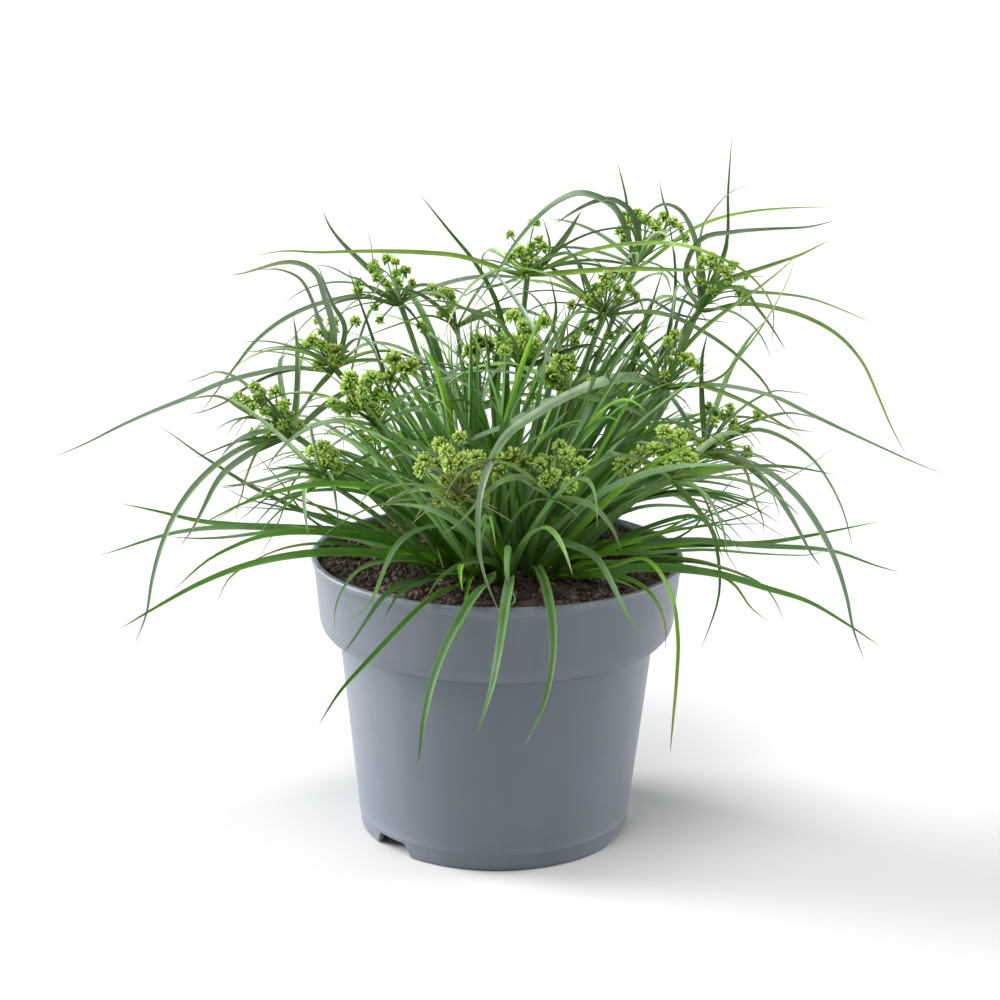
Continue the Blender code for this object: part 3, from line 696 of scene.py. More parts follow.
# Umbels: for each, where the photograph shows its flower clusters, how many more are hidden behind,
# its spikelets' length, its tint and how dry it is
HEADS = {
    "left": (5, 0.0043, 0.45, 0.05, (
        (255, 387), (238, 397), (262, 393), (275, 392), (246, 402), (253, 408), (265, 412), (285, 405), (290, 415),
        (277, 420), (282, 425), (270, 430), (293, 427), (300, 425), (253, 433), (253, 440))),
    "upper_left": (5, 0.0042, 0.55, 0.10, (
        (300, 347), (312, 340), (322, 345), (328, 348), (318, 365), (333, 360), (342, 358), (318, 320), (333, 322),
        (355, 322))),
    "high_left": (5, 0.0042, 0.45, 0.10, (
        (395, 262), (372, 268), (377, 277), (358, 283), (358, 292), (388, 285), (398, 283), (412, 283), (432, 290),
        (450, 297), (375, 307), (380, 320), (420, 325), (425, 330))),
    "high_middle": (3, 0.0042, 0.45, 0.10, (
        (510, 235), (534, 223), (520, 250), (532, 246), (543, 248), (511, 257), (525, 262), (537, 262), (525, 272))),
    "middle": (4, 0.0043, 0.70, 0.00, (
        (513, 316), (523, 325), (544, 322), (500, 340), (512, 343), (525, 340), (535, 345), (505, 352), (520, 355),
        (530, 350))),
    "middle_olive": (1, 0.0070, 0.35, 0.55, ((473, 350), (478, 340), (488, 345), (475, 368))),
    "inner_left": (4, 0.0044, 0.62, 0.00, (
        (333, 403), (340, 408), (350, 378), (347, 388), (365, 385), (372, 378), (378, 395), (365, 400), (358, 408),
        (375, 410), (350, 410), (385, 398), (362, 392), (352, 402))),
    "inner_right_olive": (2, 0.0058, 0.50, 0.30, ((560, 362), (570, 370), (555, 380), (565, 385), (550, 375))),
    "right_middle": (5, 0.0042, 0.50, 0.10, (
        (605, 277), (612, 285), (628, 288), (635, 295), (588, 300), (572, 305), (610, 335), (590, 330), (620, 330),
        (575, 340), (600, 295), (618, 300))),
    "high_right": (4, 0.0042, 0.45, 0.10, (
        (622, 215), (630, 222), (637, 213), (620, 232), (625, 240), (645, 222), (655, 228), (650, 240), (660, 235),
        (672, 222), (680, 228), (685, 238), (637, 250))),
    "upper_right": (5, 0.0042, 0.50, 0.10, (
        (703, 262), (712, 258), (725, 272), (728, 280), (745, 275), (740, 290), (745, 297), (700, 282), (712, 290),
        (690, 270))),
    "right_inner": (4, 0.0042, 0.55, 0.10, (
        (672, 362), (685, 358), (690, 362), (698, 368), (665, 375), (675, 335), (668, 342), (640, 340))),
    "right": (5, 0.0043, 0.45, 0.05, (
        (730, 408), (757, 415), (747, 428), (735, 430), (712, 422), (690, 435), (700, 443), (718, 440), (728, 447),
        (747, 452), (745, 455))),
    "low_right": (4, 0.0044, 0.70, 0.00, (
        (665, 432), (680, 435), (655, 450), (668, 452), (680, 447), (690, 460), (672, 462), (660, 465), (685, 455))),
    "front": (4, 0.0044, 0.58, 0.00, (
        (540, 465), (553, 475), (560, 447), (565, 455), (580, 465), (555, 490), (545, 480), (570, 485), (562, 472))),
    "front_pale": (3, 0.0044, 0.72, 0.22, (
        (460, 437), (440, 445), (447, 452), (425, 460), (422, 470), (463, 460), (478, 458), (445, 480), (460, 480),
        (440, 500), (455, 500), (478, 478), (450, 465))),
}

# Older, olive clusters with longer spikelets: umbel, place and radius
OLIVE = (
    ("inner_left", (393, 360), 0.0062), ("inner_left", (403, 371), 0.0070), ("inner_left", (411, 367), 0.0060),
    ("inner_left", (390, 377), 0.0055), ("upper_left", (336, 358), 0.0062), ("upper_left", (338, 352), 0.0055),
    ("front", (507, 462), 0.0068), ("front", (514, 456), 0.0060), ("front", (524, 463), 0.0062),
    ("front", (500, 470), 0.0050), ("low_right", (629, 463), 0.0066), ("low_right", (640, 457), 0.0058),
    ("low_right", (622, 466), 0.0056), ("low_right", (627, 476), 0.0050),
)

# Small umbels without solids of their own: name, foot, fork and middle as seen, depth, radius, tint, dry
SMALL_UMBELS = (
    ("low_left", (-0.034, -0.030), (323, 480), (321, 463), -0.070, 0.013, 0.60, 0.28),
    ("high_inner", (-0.012, 0.034), (457, 327), (447, 303), 0.066, 0.009, 0.50, 0.10),
    ("inner_high_right", (0.012, 0.024), (600, 412), (596, 394), 0.030, 0.010, 0.70, 0.00),
    ("back_left", (-0.030, 0.036), (380, 470), (376, 448), 0.110, 0.017, 0.45, 0.10),
    ("back_middle", (-0.006, 0.044), (452, 420), (450, 398), 0.140, 0.017, 0.50, 0.15),
    ("back_high", (0.008, 0.042), (548, 420), (548, 398), 0.150, 0.018, 0.45, 0.05),
    ("back_right", (0.028, 0.040), (640, 450), (642, 428), 0.120, 0.018, 0.55, 0.10),
    ("back_low", (0.010, 0.048), (500, 470), (500, 452), 0.175, 0.016, 0.50, 0.20),
)

# Bracts traced in the photograph: umbel, width in mm, depth of the tip, look, then the route after the fork
BRACTS = (
    ("left", 5.6, -0.040, "glaucous", ((258, 449), (240, 460), (225, 472), (214, 487), (205, 505), (192, 530), (178, 549))),
    ("left", 6.0, 0.004, "green", ((297, 400), (298, 370), (297, 340), (293, 315))),
    ("left", 3.2, 0.020, "pale", ((262, 400), (250, 388), (240, 380), (228, 374), (215, 372), (205, 376), (182, 384))),
    ("left", 3.0, 0.010, "green", ((262, 420), (240, 408), (228, 400), (215, 396), (195, 398), (180, 402))),
    ("left", 2.4, -0.015, "olive", ((255, 417), (236, 423), (226, 437))),
    ("left", 2.2, -0.025, "dark", ((245, 440), (215, 450), (194, 459))),
    ("left", 2.4, -0.032, "brown", ((262, 446), (247, 475), (242, 495), (238, 505), (236, 520))),
    ("upper_left", 3.6, -0.015, "glaucous", ((300, 369), (270, 376), (240, 392), (228, 401), (205, 411), (187, 414))),
    ("upper_left", 4.2, -0.012, "green", ((320, 385), (310, 398), (300, 415))),
    ("upper_left", 5.2, -0.020, "bent", (
        (333, 325), (325, 298), (318, 276), (310, 268), (302, 264), (290, 262), (275, 264), (258, 269), (240, 274), (228, 274))),
    ("upper_left", 3.4, -0.010, "bent", (
        (328, 340), (320, 322), (312, 300), (305, 285), (298, 277), (288, 272), (275, 269), (258, 270))),
    ("upper_left", 4.2, 0.020, "dark", ((345, 330), (333, 305), (325, 285), (318, 265))),
    ("upper_left", 3.6, -0.030, "pale", (
        (355, 350), (365, 345), (380, 343), (400, 348), (420, 358), (450, 375), (480, 393), (503, 401))),
    ("upper_left", 3.0, 0.030, "glaucous", ((350, 362), (370, 360), (400, 362), (440, 366), (470, 373))),
    ("high_left", 4.8, 0.060, "glaucous", ((385, 285), (370, 270), (350, 251), (338, 238), (329, 225), (323, 211))),
    ("high_left", 2.8, 0.050, "green", ((375, 292), (360, 280), (350, 277), (335, 269), (325, 266), (310, 265))),
    ("high_left", 2.4, 0.075, "green", ((385, 280), (374, 262), (371, 245), (367, 226))),
    ("high_left", 2.8, 0.045, "pale", ((380, 291), (365, 296), (350, 305), (340, 318), (328, 340))),
    ("high_left", 3.2, 0.090, "dark", ((410, 290), (425, 285), (455, 290), (470, 298))),
    ("high_middle", 2.6, 0.060, "green", ((545, 262), (550, 245), (543, 218))),
    ("high_middle", 6.2, 0.070, "green", ((550, 256), (566, 236), (582, 210))),
    ("high_middle", 3.4, 0.040, "green", ((540, 262), (560, 254), (573, 255), (580, 270), (588, 305))),
    ("high_middle", 4.6, 0.010, "lime", ((550, 274), (600, 270), (640, 269), (700, 270), (733, 266))),
    ("high_middle", 3.0, 0.070, "dark", ((500, 285), (480, 288), (462, 297))),
    ("middle", 3.8, 0.020, "green", ((510, 340), (500, 322), (480, 313), (460, 308), (430, 306), (404, 302))),
    ("middle", 3.0, 0.000, "green", ((540, 350), (552, 330), (556, 310), (553, 290), (548, 270))),
    ("middle", 4.6, -0.030, "dark", ((545, 360), (570, 350), (590, 345), (612, 352))),
    ("high_inner", 2.6, 0.040, "olive", ((430, 316), (400, 324), (370, 335), (350, 345))),
    ("middle_olive", 5.4, -0.010, "dark", ((440, 385), (410, 393), (390, 400))),
    ("inner_left", 5.0, -0.085, "green", ((400, 440), (420, 446), (445, 462), (455, 470))),
    ("inner_left", 4.6, -0.075, "green", ((350, 408), (320, 406), (300, 408))),
    ("inner_left", 3.4, -0.050, "dark", ((350, 435), (320, 452), (300, 450))),
    ("inner_right_olive", 7.4, -0.100, "waxy", ((575, 393), (545, 402), (510, 424), (480, 436), (446, 452), (413, 470))),
    ("inner_right_olive", 4.6, -0.060, "dark", ((590, 398), (620, 405), (650, 420))),
    ("right_middle", 4.6, 0.000, "green", ((640, 312), (670, 316), (700, 330), (730, 350), (760, 378), (775, 400), (802, 433))),
    ("right_middle", 2.6, 0.030, "glaucous", ((630, 305), (650, 300), (680, 315), (730, 323))),
    ("right_middle", 4.0, 0.020, "dark", ((585, 325), (560, 345), (548, 372))),
    ("right_middle", 4.4, 0.060, "green", ((590, 290), (578, 262), (562, 244))),
    ("high_right", 5.2, 0.050, "glaucous", ((640, 245), (632, 213), (615, 200), (600, 200), (580, 208), (553, 225))),
    ("high_right", 3.0, 0.100, "green", ((630, 245), (627, 205), (622, 180), (617, 161))),
    ("high_right", 3.0, 0.100, "green", ((655, 245), (668, 220), (663, 200), (659, 180))),
    ("high_right", 4.0, 0.070, "dark", ((620, 275), (590, 290), (575, 300))),
    ("upper_right", 5.0, 0.050, "pale", (
        (702, 285), (700, 262), (697, 245), (690, 225), (680, 210), (664, 204), (650, 212), (640, 225))),
    ("upper_right", 2.6, 0.070, "pale", ((698, 270), (702, 230), (710, 215), (722, 200), (735, 190), (757, 182))),
    ("upper_right", 4.2, 0.040, "dark", ((685, 275), (700, 240), (734, 232), (770, 229), (808, 227), (837, 220))),
    ("upper_right", 4.0, 0.020, "tipped", ((715, 290), (725, 280), (750, 272), (780, 262), (800, 255), (830, 240))),
    ("upper_right", 3.4, 0.010, "green", ((725, 288), (745, 291), (755, 305), (770, 325), (787, 352))),
    ("upper_right", 4.0, 0.030, "tipped", ((715, 290), (730, 287), (750, 292), (780, 294), (812, 299), (845, 311), (879, 326))),
    ("upper_right", 4.4, 0.030, "pale", ((690, 325), (682, 350), (680, 372))),
    ("right_inner", 3.6, -0.010, "olive", ((680, 355), (702, 330), (730, 308), (760, 287), (790, 262), (796, 250))),
    ("right_inner", 3.2, -0.020, "olive", ((690, 385), (720, 378), (745, 350), (760, 330), (778, 300), (790, 275), (796, 248))),
    ("right_inner", 3.6, -0.030, "tipped", ((690, 384), (713, 389), (745, 402), (770, 417), (790, 428), (815, 432))),
    ("right_inner", 5.0, -0.040, "glaucous", ((640, 380), (615, 381), (600, 390), (585, 402))),
    ("right", 4.8, 0.002, "dark", ((705, 440), (702, 400), (702, 360), (708, 332))),
    ("right", 3.0, 0.020, "pale", ((720, 430), (740, 410), (760, 397), (775, 391), (790, 392), (805, 394), (817, 402))),
    ("right", 3.2, 0.010, "glaucous", ((725, 437), (745, 425), (770, 416), (790, 413), (808, 416), (820, 420))),
    ("right", 4.8, -0.020, "green", ((730, 438), (757, 430), (785, 439), (811, 458), (830, 484), (844, 514), (853, 549))),
    ("right", 5.8, -0.035, "glaucous", ((740, 462), (770, 486), (785, 507), (799, 531), (812, 555), (822, 568))),
    ("right", 2.2, -0.035, "pale", ((748, 453), (770, 462), (786, 470), (806, 477))),
    ("right", 2.4, -0.032, "brown", ((732, 462), (745, 470), (752, 490), (757, 505), (763, 520), (763, 537))),
    ("low_right", 3.4, -0.090, "green", ((700, 475), (740, 467), (770, 466), (800, 468), (836, 475))),
    ("low_right", 4.4, -0.110, "dark", ((690, 500), (712, 530), (722, 556))),
    ("low_left", 3.6, -0.080, "glaucous", ((300, 470), (280, 476), (250, 483), (218, 487))),
    ("low_left", 4.6, -0.050, "green", ((360, 470), (400, 473), (428, 486))),
    ("low_left", 3.4, -0.085, "dark", ((310, 490), (290, 498), (262, 500))),
    ("front", 4.4, -0.135, "pale", ((540, 480), (520, 477), (500, 482), (480, 500), (462, 520), (443, 535))),
    ("front", 4.6, -0.120, "green", ((575, 500), (595, 508), (612, 528), (622, 552))),
    ("front_pale", 4.4, -0.130, "glaucous", ((445, 475), (430, 468), (420, 478))),
    ("front_pale", 2.6, -0.140, "brown", ((450, 500), (430, 500), (414, 520))),
)

# Leaves traced in the photograph: foot, width in mm, depth of the tip, look, route
LEAVES = (
    ((-0.040, 0.010), 5.6, 0.000, "glaucous", ((400, 540), (300, 529), (230, 527), (190, 530), (160, 536), (130, 546), (98, 556))),
    ((-0.042, -0.012), 4.2, -0.030, "pale", ((400, 548), (300, 531), (220, 538), (180, 538), (168, 536))),
    ((-0.036, -0.026), 5.6, -0.062, "green", ((410, 550), (358, 536), (300, 532), (258, 537), (233, 547), (206, 561), (172, 592))),
    ((-0.038, -0.020), 4.6, -0.060, "green", ((400, 560), (340, 552), (260, 560), (240, 570), (228, 578), (215, 607))),
    ((-0.038, 0.016), 4.2, 0.010, "glaucous", ((390, 545), (300, 510), (245, 483), (217, 465), (200, 455), (180, 440), (157, 424))),
    ((0.042, 0.012), 5.6, 0.000, "glaucous", ((620, 560), (700, 549), (780, 547), (835, 551), (870, 564), (902, 573))),
    ((0.042, -0.010), 4.2, -0.030, "pale", ((620, 566), (700, 552), (760, 554), (815, 555), (835, 543))),
    ((0.038, -0.026), 4.6, -0.064, "green", ((610, 572), (690, 562), (755, 580), (775, 600), (785, 624))),
    ((0.036, -0.034), 4.2, -0.080, "tipped", ((610, 580), (680, 568), (730, 580), (750, 608), (770, 622))),
    ((0.040, -0.004), 3.8, -0.040, "green", ((640, 530), (700, 515), (716, 545), (720, 590), (712, 620), (700, 651))),
    ((0.040, 0.016), 4.2, 0.010, "glaucous", ((620, 560), (700, 520), (740, 505), (785, 480), (815, 462), (842, 441))),
    ((-0.024, -0.034), 5.2, -0.128, "pale", (
        (470, 540), (440, 525), (415, 530), (400, 540), (390, 555), (380, 580), (373, 600), (360, 614), (345, 622))),
    ((-0.030, -0.032), 3.2, -0.122, "pale", ((420, 560), (377, 562), (355, 572), (342, 590), (335, 608), (334, 631))),
    ((-0.016, -0.046), 5.2, -0.138, "teal", ((475, 585), (433, 588), (392, 612), (366, 633), (342, 656))),
    ((-0.020, -0.044), 4.4, -0.128, "dark", ((455, 590), (430, 595), (400, 610), (384, 626))),
    ((0.020, -0.036), 5.8, -0.140, "pale", (
        (545, 560), (557, 541), (575, 546), (595, 555), (608, 575), (620, 600), (630, 620), (645, 637))),
    ((0.028, -0.040), 3.4, -0.128, "green", ((590, 575), (625, 583), (640, 592))),
    ((0.032, -0.038), 3.8, -0.116, "tipped", ((590, 575), (620, 583), (645, 595), (660, 612), (666, 632), (665, 651))),
    ((-0.010, -0.052), 3.2, -0.150, "green", ((480, 590), (470, 610), (467, 630), (462, 655), (450, 661))),
    ((0.004, -0.050), 5.8, -0.060, "fresh", ((510, 570), (500, 550), (485, 530), (465, 520), (440, 516))),
    ((0.000, -0.050), 5.6, -0.112, "glaucous", ((500, 565), (480, 559), (460, 565), (440, 578), (427, 597))),
    ((0.008, -0.052), 5.4, -0.128, "pale", ((508, 545), (507, 570), (510, 590), (517, 600), (506, 608))),
    ((-0.026, 0.004), 4.8, 0.020, "dark", ((430, 500), (400, 420), (382, 365), (365, 315), (352, 280), (347, 262))),
    ((-0.002, 0.020), 6.2, 0.050, "green", ((505, 480), (494, 400), (500, 330), (497, 310), (492, 285))),
    ((-0.006, -0.008), 6.0, 0.010, "green", ((498, 500), (487, 430), (470, 380), (452, 342))),
    ((-0.012, 0.000), 6.2, 0.020, "glaucous", ((485, 500), (466, 430), (440, 372), (424, 330), (398, 296))),
    ((-0.016, -0.010), 6.4, -0.020, "dark", ((470, 510), (430, 450), (395, 400), (360, 372))),
    ((-0.014, -0.020), 6.6, -0.040, "green", ((470, 520), (430, 460), (400, 425), (372, 398))),
    ((0.002, 0.012), 5.6, 0.060, "green", ((510, 490), (515, 420), (530, 350), (536, 310))),
    ((0.010, 0.004), 6.2, 0.030, "green", ((528, 500), (545, 430), (572, 370), (592, 335))),
    ((0.014, -0.004), 6.6, 0.010, "fresh", ((545, 510), (575, 450), (610, 400), (640, 372))),
    ((0.020, 0.004), 5.6, 0.050, "dark", ((560, 500), (600, 430), (640, 372), (676, 330))),
    ((0.022, -0.012), 6.4, -0.020, "green", ((565, 520), (610, 470), (650, 430), (690, 404))),
    ((0.026, -0.020), 6.2, -0.050, "glaucous", ((575, 530), (620, 490), (660, 470), (720, 478))),
    ((0.018, 0.016), 5.0, 0.070, "dark", ((600, 470), (640, 400), (664, 350), (674, 305), (676, 270), (672, 240), (667, 208))),
    ((0.020, 0.004), 5.2, 0.040, "waxy", ((590, 490), (635, 430), (662, 375), (675, 330), (682, 300), (691, 285), (704, 282), (722, 286))),
    ((0.024, 0.000), 5.0, 0.030, "waxy", ((600, 495), (645, 440), (670, 385), (683, 328), (696, 300), (711, 290), (730, 289))),
    ((0.012, 0.018), 5.2, 0.080, "dark", ((560, 520), (600, 450), (628, 385), (646, 325), (658, 285), (666, 262))),
    ((0.004, 0.022), 5.2, 0.080, "waxy", ((520, 440), (545, 355), (580, 308), (615, 287), (645, 266), (666, 250))),
    ((0.010, 0.010), 5.6, 0.050, "green", ((560, 440), (595, 385), (624, 342), (650, 315), (678, 298), (694, 292))),
    ((0.012, 0.002), 5.6, 0.020, "green", ((575, 500), (600, 450), (622, 392), (640, 338), (652, 296))),
    ((0.020, 0.008), 4.8, 0.060, "green", ((590, 500), (640, 420), (672, 366), (700, 330), (722, 312))),
    ((0.006, 0.004), 3.0, 0.010, "pale", ((530, 500), (556, 410), (567, 355), (567, 322), (562, 298))),
    ((0.004, 0.014), 2.8, 0.060, "olive", ((520, 430), (556, 345), (584, 292), (600, 264), (606, 246))),
)

# Fine leaves that cross beside the tuft, as traced on the right; those on the left are their mirror image
SIDE_LEAVES = (
    ((0.024, -0.014), 3.8, -0.030, "pale", (
        (580, 520), (620, 498), (640, 491), (660, 490), (685, 500), (700, 512), (718, 526), (732, 541), (748, 562))),
    ((0.022, -0.010), 3.6, 0.000, "glaucous", ((590, 530), (640, 507), (690, 507), (712, 512), (730, 526), (742, 540), (749, 549))),
    ((0.026, 0.002), 3.0, 0.020, "dark", ((590, 520), (640, 498), (670, 495), (700, 501), (722, 508), (740, 520), (755, 534), (763, 540))),
    ((0.020, 0.000), 3.4, 0.040, "glaucous", ((580, 510), (640, 484), (690, 486), (718, 492), (742, 499), (762, 502), (781, 505))),
    ((0.018, 0.010), 2.2, 0.060, "dark", ((590, 510), (650, 478), (685, 469), (705, 467), (726, 474), (746, 484), (773, 494))),
    ((0.030, 0.000), 2.8, 0.030, "olive", ((610, 550), (650, 531), (690, 519), (720, 508), (750, 499), (764, 492))),
    ((0.032, 0.006), 2.6, 0.050, "dark", ((610, 552), (660, 536), (700, 527), (730, 520), (752, 515), (766, 507), (776, 502))),
    ((0.032, -0.002), 2.6, -0.010, "green", ((610, 556), (660, 535), (700, 527), (740, 524), (774, 524))),
    ((0.026, -0.006), 2.4, 0.010, "glaucous", ((610, 562), (660, 550), (684, 538), (700, 523), (713, 503), (735, 478), (746, 466))),
    ((0.022, -0.018), 2.6, -0.050, "green", ((600, 520), (650, 490), (690, 482), (705, 498), (713, 520), (722, 545), (741, 577))),
    ((0.026, -0.012), 2.2, -0.030, "pale", ((600, 520), (660, 492), (700, 494), (722, 502), (745, 512), (765, 526), (802, 546))),
    ((0.034, -0.022), 3.4, -0.060, "olive", ((610, 575), (650, 561), (690, 560), (720, 566), (745, 577), (762, 588))),
    ((0.026, -0.012), 5.2, 0.000, "lime", ((590, 580), (628, 556), (658, 538), (680, 523), (697, 511))),
    ((0.026, -0.016), 4.0, -0.010, "lime", ((590, 576), (645, 555), (682, 546), (714, 541))),
)
MIRROR_SPAN, MIRROR_LIFT = 998, 16

# The dense tuft: its upper outline as the photograph shows it, which no filling leaf passes
OUTLINE = (
    (100, 545), (150, 520), (200, 500), (250, 475), (300, 440), (340, 398), (380, 352), (420, 325), (460, 310),
    (500, 302), (560, 292), (610, 288), (650, 296), (700, 330), (740, 400), (770, 450), (800, 484), (850, 520),
    (900, 555))

# The same for the whole plant, which no filling bract passes
HULL = ((190, 420), (230, 350), (270, 310), (320, 280), (380, 262), (450, 272), (500, 240), (550, 215), (600, 198),
        (650, 204), (700, 222), (750, 255), (800, 320), (840, 430))


# Where the photograph shows bare soil in front of the tuft: left, right, top and bottom
SOIL_WINDOWS = ((318, 436, 551, 606), (604, 672, 566, 606), (470, 560, 584, 606))


# Where it shows the rim and the soil behind the tuft
RIM_WINDOWS = ((366, 398, 513, 542), (606, 638, 518, 543), (296, 345, 512, 560), (655, 704, 522, 575))


def sight(tone_rng):
    """The way most blades turn their upper side: up, and partly to the viewer."""
    lean = 1.25 + 0.55 * tone_rng.standard_normal()
    return np.array([-0.15, -lean, 0.9])


def over_rim(route):
    """Lifts a route off the soil and over the rim in one smooth rise, and keeps what hangs outside off the wall."""
    route = route.copy()
    run = np.r_[0.0, np.cumsum(np.linalg.norm(np.diff(route, axis=0), axis=1))]
    apart = np.abs(run[:, None] - run[None])
    for _ in range(3):
        r = np.linalg.norm(route[:, :2], axis=1)
        past = np.cumsum(r > 0.1185) > 0
        ground = np.array([soil_top(x, y) for x, y in route[:, :2]]) + 0.003
        floor = np.maximum(ground, 0.1735 + (np.minimum(r, 0.1185) - 0.030) * 0.108)
        short = np.where(past, 0.0, np.maximum(floor - route[:, 2], 0.0)) * (run > 0.012)
        route[:, 2] += (short[None] * np.exp(-((apart / 0.030) ** 2))).max(1) * np.minimum(run / 0.020, 1.0)
        near = past & (r < 0.1200) & (route[:, 2] < 0.1810)
        push = np.where(near, 0.1200 - r, 0.0)
        route[:, :2] *= 1 + ((push[None] * np.exp(-((apart / 0.020) ** 2))).max(1) * past / np.maximum(r, 0.01))[:, None]
        route[2:-1] = 0.25 * route[1:-2] + 0.5 * route[2:-1] + 0.25 * route[3:]
    return route


def rooted(foot):
    """A point a little under the soil, where a leaf or culm starts."""
    return np.array([foot[0], foot[1], soil_top(*foot) - 0.004])


def traced(start, seen, tip_depth, first_share=0.0):
    """Real points along a blade read in the photograph, its depth going evenly to the tip's."""
    seen = np.array(seen, float)
    origin = shown_at(start[None])[0]
    reach = np.cumsum(np.linalg.norm(np.diff(np.vstack([origin, seen]), axis=0), axis=1))
    depths = start[1] + (tip_depth - start[1]) * reach / reach[-1]
    return np.vstack([start[None], [seen_at(x, y, d) for (x, y), d in zip(seen, depths)]])


def outline_cut(route):
    """Ends a filling leaf where it would leave the tuft that the photograph shows."""
    seen = shown_at(route)
    top = np.interp(seen[:, 0], *np.array(OUTLINE).T)
    behind_pot = (np.abs(seen[:, 0] - 498) < 130) & (route[:, 1] > 0.09)
    low = np.where(np.abs(seen[:, 0] - 498) < 190, 592, 628)
    bad = (seen[:, 1] < top) | ((seen[:, 1] > low) & ~behind_pot) | (seen[:, 0] < 128) | (seen[:, 0] > 876)
    for left, right, high, deep in SOIL_WINDOWS:
        bad |= (seen[:, 0] > left) & (seen[:, 0] < right) & (seen[:, 1] > high) & (seen[:, 1] < deep)
    bad |= (np.abs(route[:, 1]) > 0.205) | (route[:, 2] > 0.42) | (route[:, 2] < 0.06)
    bad[:4] = False
    return route[: int(np.argmax(bad))] if bad.any() else route


def arching(start, bearing, slope, length, bend, drift, count=25, power=1.4):
    """A blade's route from its foot: rising at a slope, then bending over under its own weight."""
    share = np.linspace(0, 1, count)
    rise = slope - bend * share**power
    turn = bearing + drift * share
    ways = np.stack([np.cos(turn) * np.cos(rise), np.sin(turn) * np.cos(rise), np.sin(rise)], 1)
    steps = np.vstack([[0.0, 0.0, 0.0], ways[:-1]]) * (length / (count - 1))
    return start + np.cumsum(steps, axis=0)


def pick(rng, choices):
    names = list(choices)
    weights = np.array([choices[n] for n in names], float)
    return names[int(rng.choice(len(names), p=weights / weights.sum()))]


def radial_wish(route, rng):
    """A free-growing blade shows its upper side to the plant's middle and to the sky."""
    out = unit(np.array([route[-1, 0] - route[0, 0], route[-1, 1] - route[0, 1], 0.0]) + 1e-9)
    return SKY - 0.25 * out + 0.25 * rng.standard_normal(3)


# Kinds of flower cluster: spikelets, their thickness and scatter, the least and the spread of their reach
CLUSTERS = {
    "fluffy": (46, 0.175, 0.13, 0.86, 0.24),
    "star": (26, 0.225, 0.17, 0.80, 0.34),
    "burst": (23, 0.190, 0.20, 0.80, 0.40),
}


def spikelet(pile, start, way, length, thick, tint, dry, rng, blunt):
    """One flattened spikelet: young ones are blunt grains, older ones are longer and pointed."""
    side = unit(np.cross(way, rng.standard_normal(3)))
    other = np.cross(side, way)
    share = np.array([0.0, 0.46, 0.84, 1.0]) if blunt else np.array([0.0, 0.34, 0.74, 1.0])
    size = np.array([0.40, 0.92, 0.96, 0.44] if blunt else [0.40, 0.95, 0.90, 0.22]) * thick
    turn = -np.arange(4) * 2 * np.pi / 4
    middle = start + way * (share * length)[:, None]
    rings = middle[:, None] + side * (size[:, None] * np.cos(turn))[..., None]
    rings = rings + other * (size[:, None] * 0.66 * np.sin(turn))[..., None]
    pile.add(rings, along=share[:, None] * np.ones(4), tint=tint, dry=dry)


def cluster(pile, middle, out, radius, tint, dry, rng, style):
    """A round cluster of spikelets."""
    count, thickness, scatter, least, spread = CLUSTERS[style]
    thick = radius * thickness
    order = np.arange(count)
    height = 1 - 1.72 * (order + 0.5) / count
    turn = order * 2.39996 + rng.random() * 6
    ring = np.sqrt(np.maximum(1 - height**2, 0))
    local = np.stack([ring * np.cos(turn), ring * np.sin(turn), height], 1)
    local += scatter * rng.standard_normal(local.shape)
    side = unit(np.cross(out, [0.31, 0.52, -0.79]))
    other = np.cross(out, side)
    ways = unit(local[:, :1] * side + local[:, 1:2] * other + local[:, 2:] * out)
    for way in ways:
        reach = radius * (least + spread * rng.random())
        # Spikelets that point up get a lighter tint: painted light from above.
        shade = min(max(tint + 0.17 * rng.standard_normal() + 0.22 * way[2], 0.0), 1.0)
        spikelet(pile, middle + way * radius * 0.16, way, reach - radius * 0.16, thick * (0.85 + 0.3 * rng.random()),
                 shade, dry * (0.6 + 0.6 * rng.random()), rng, style == "fluffy")


def hidden_clusters(rng, fork, middle, radius, count):
    """Places for the clusters that the photograph doesn't show, on the head's far side."""
    spots = []
    for index in range(count):
        turn = math.radians(35 + 110 * (index + 0.5) / count)
        height = -0.35 + 1.1 * rng.random()
        way = unit(np.array([math.cos(turn), math.sin(turn), height]))
        spots.append(middle + way * radius * (0.55 + 0.4 * rng.random()))
    return spots


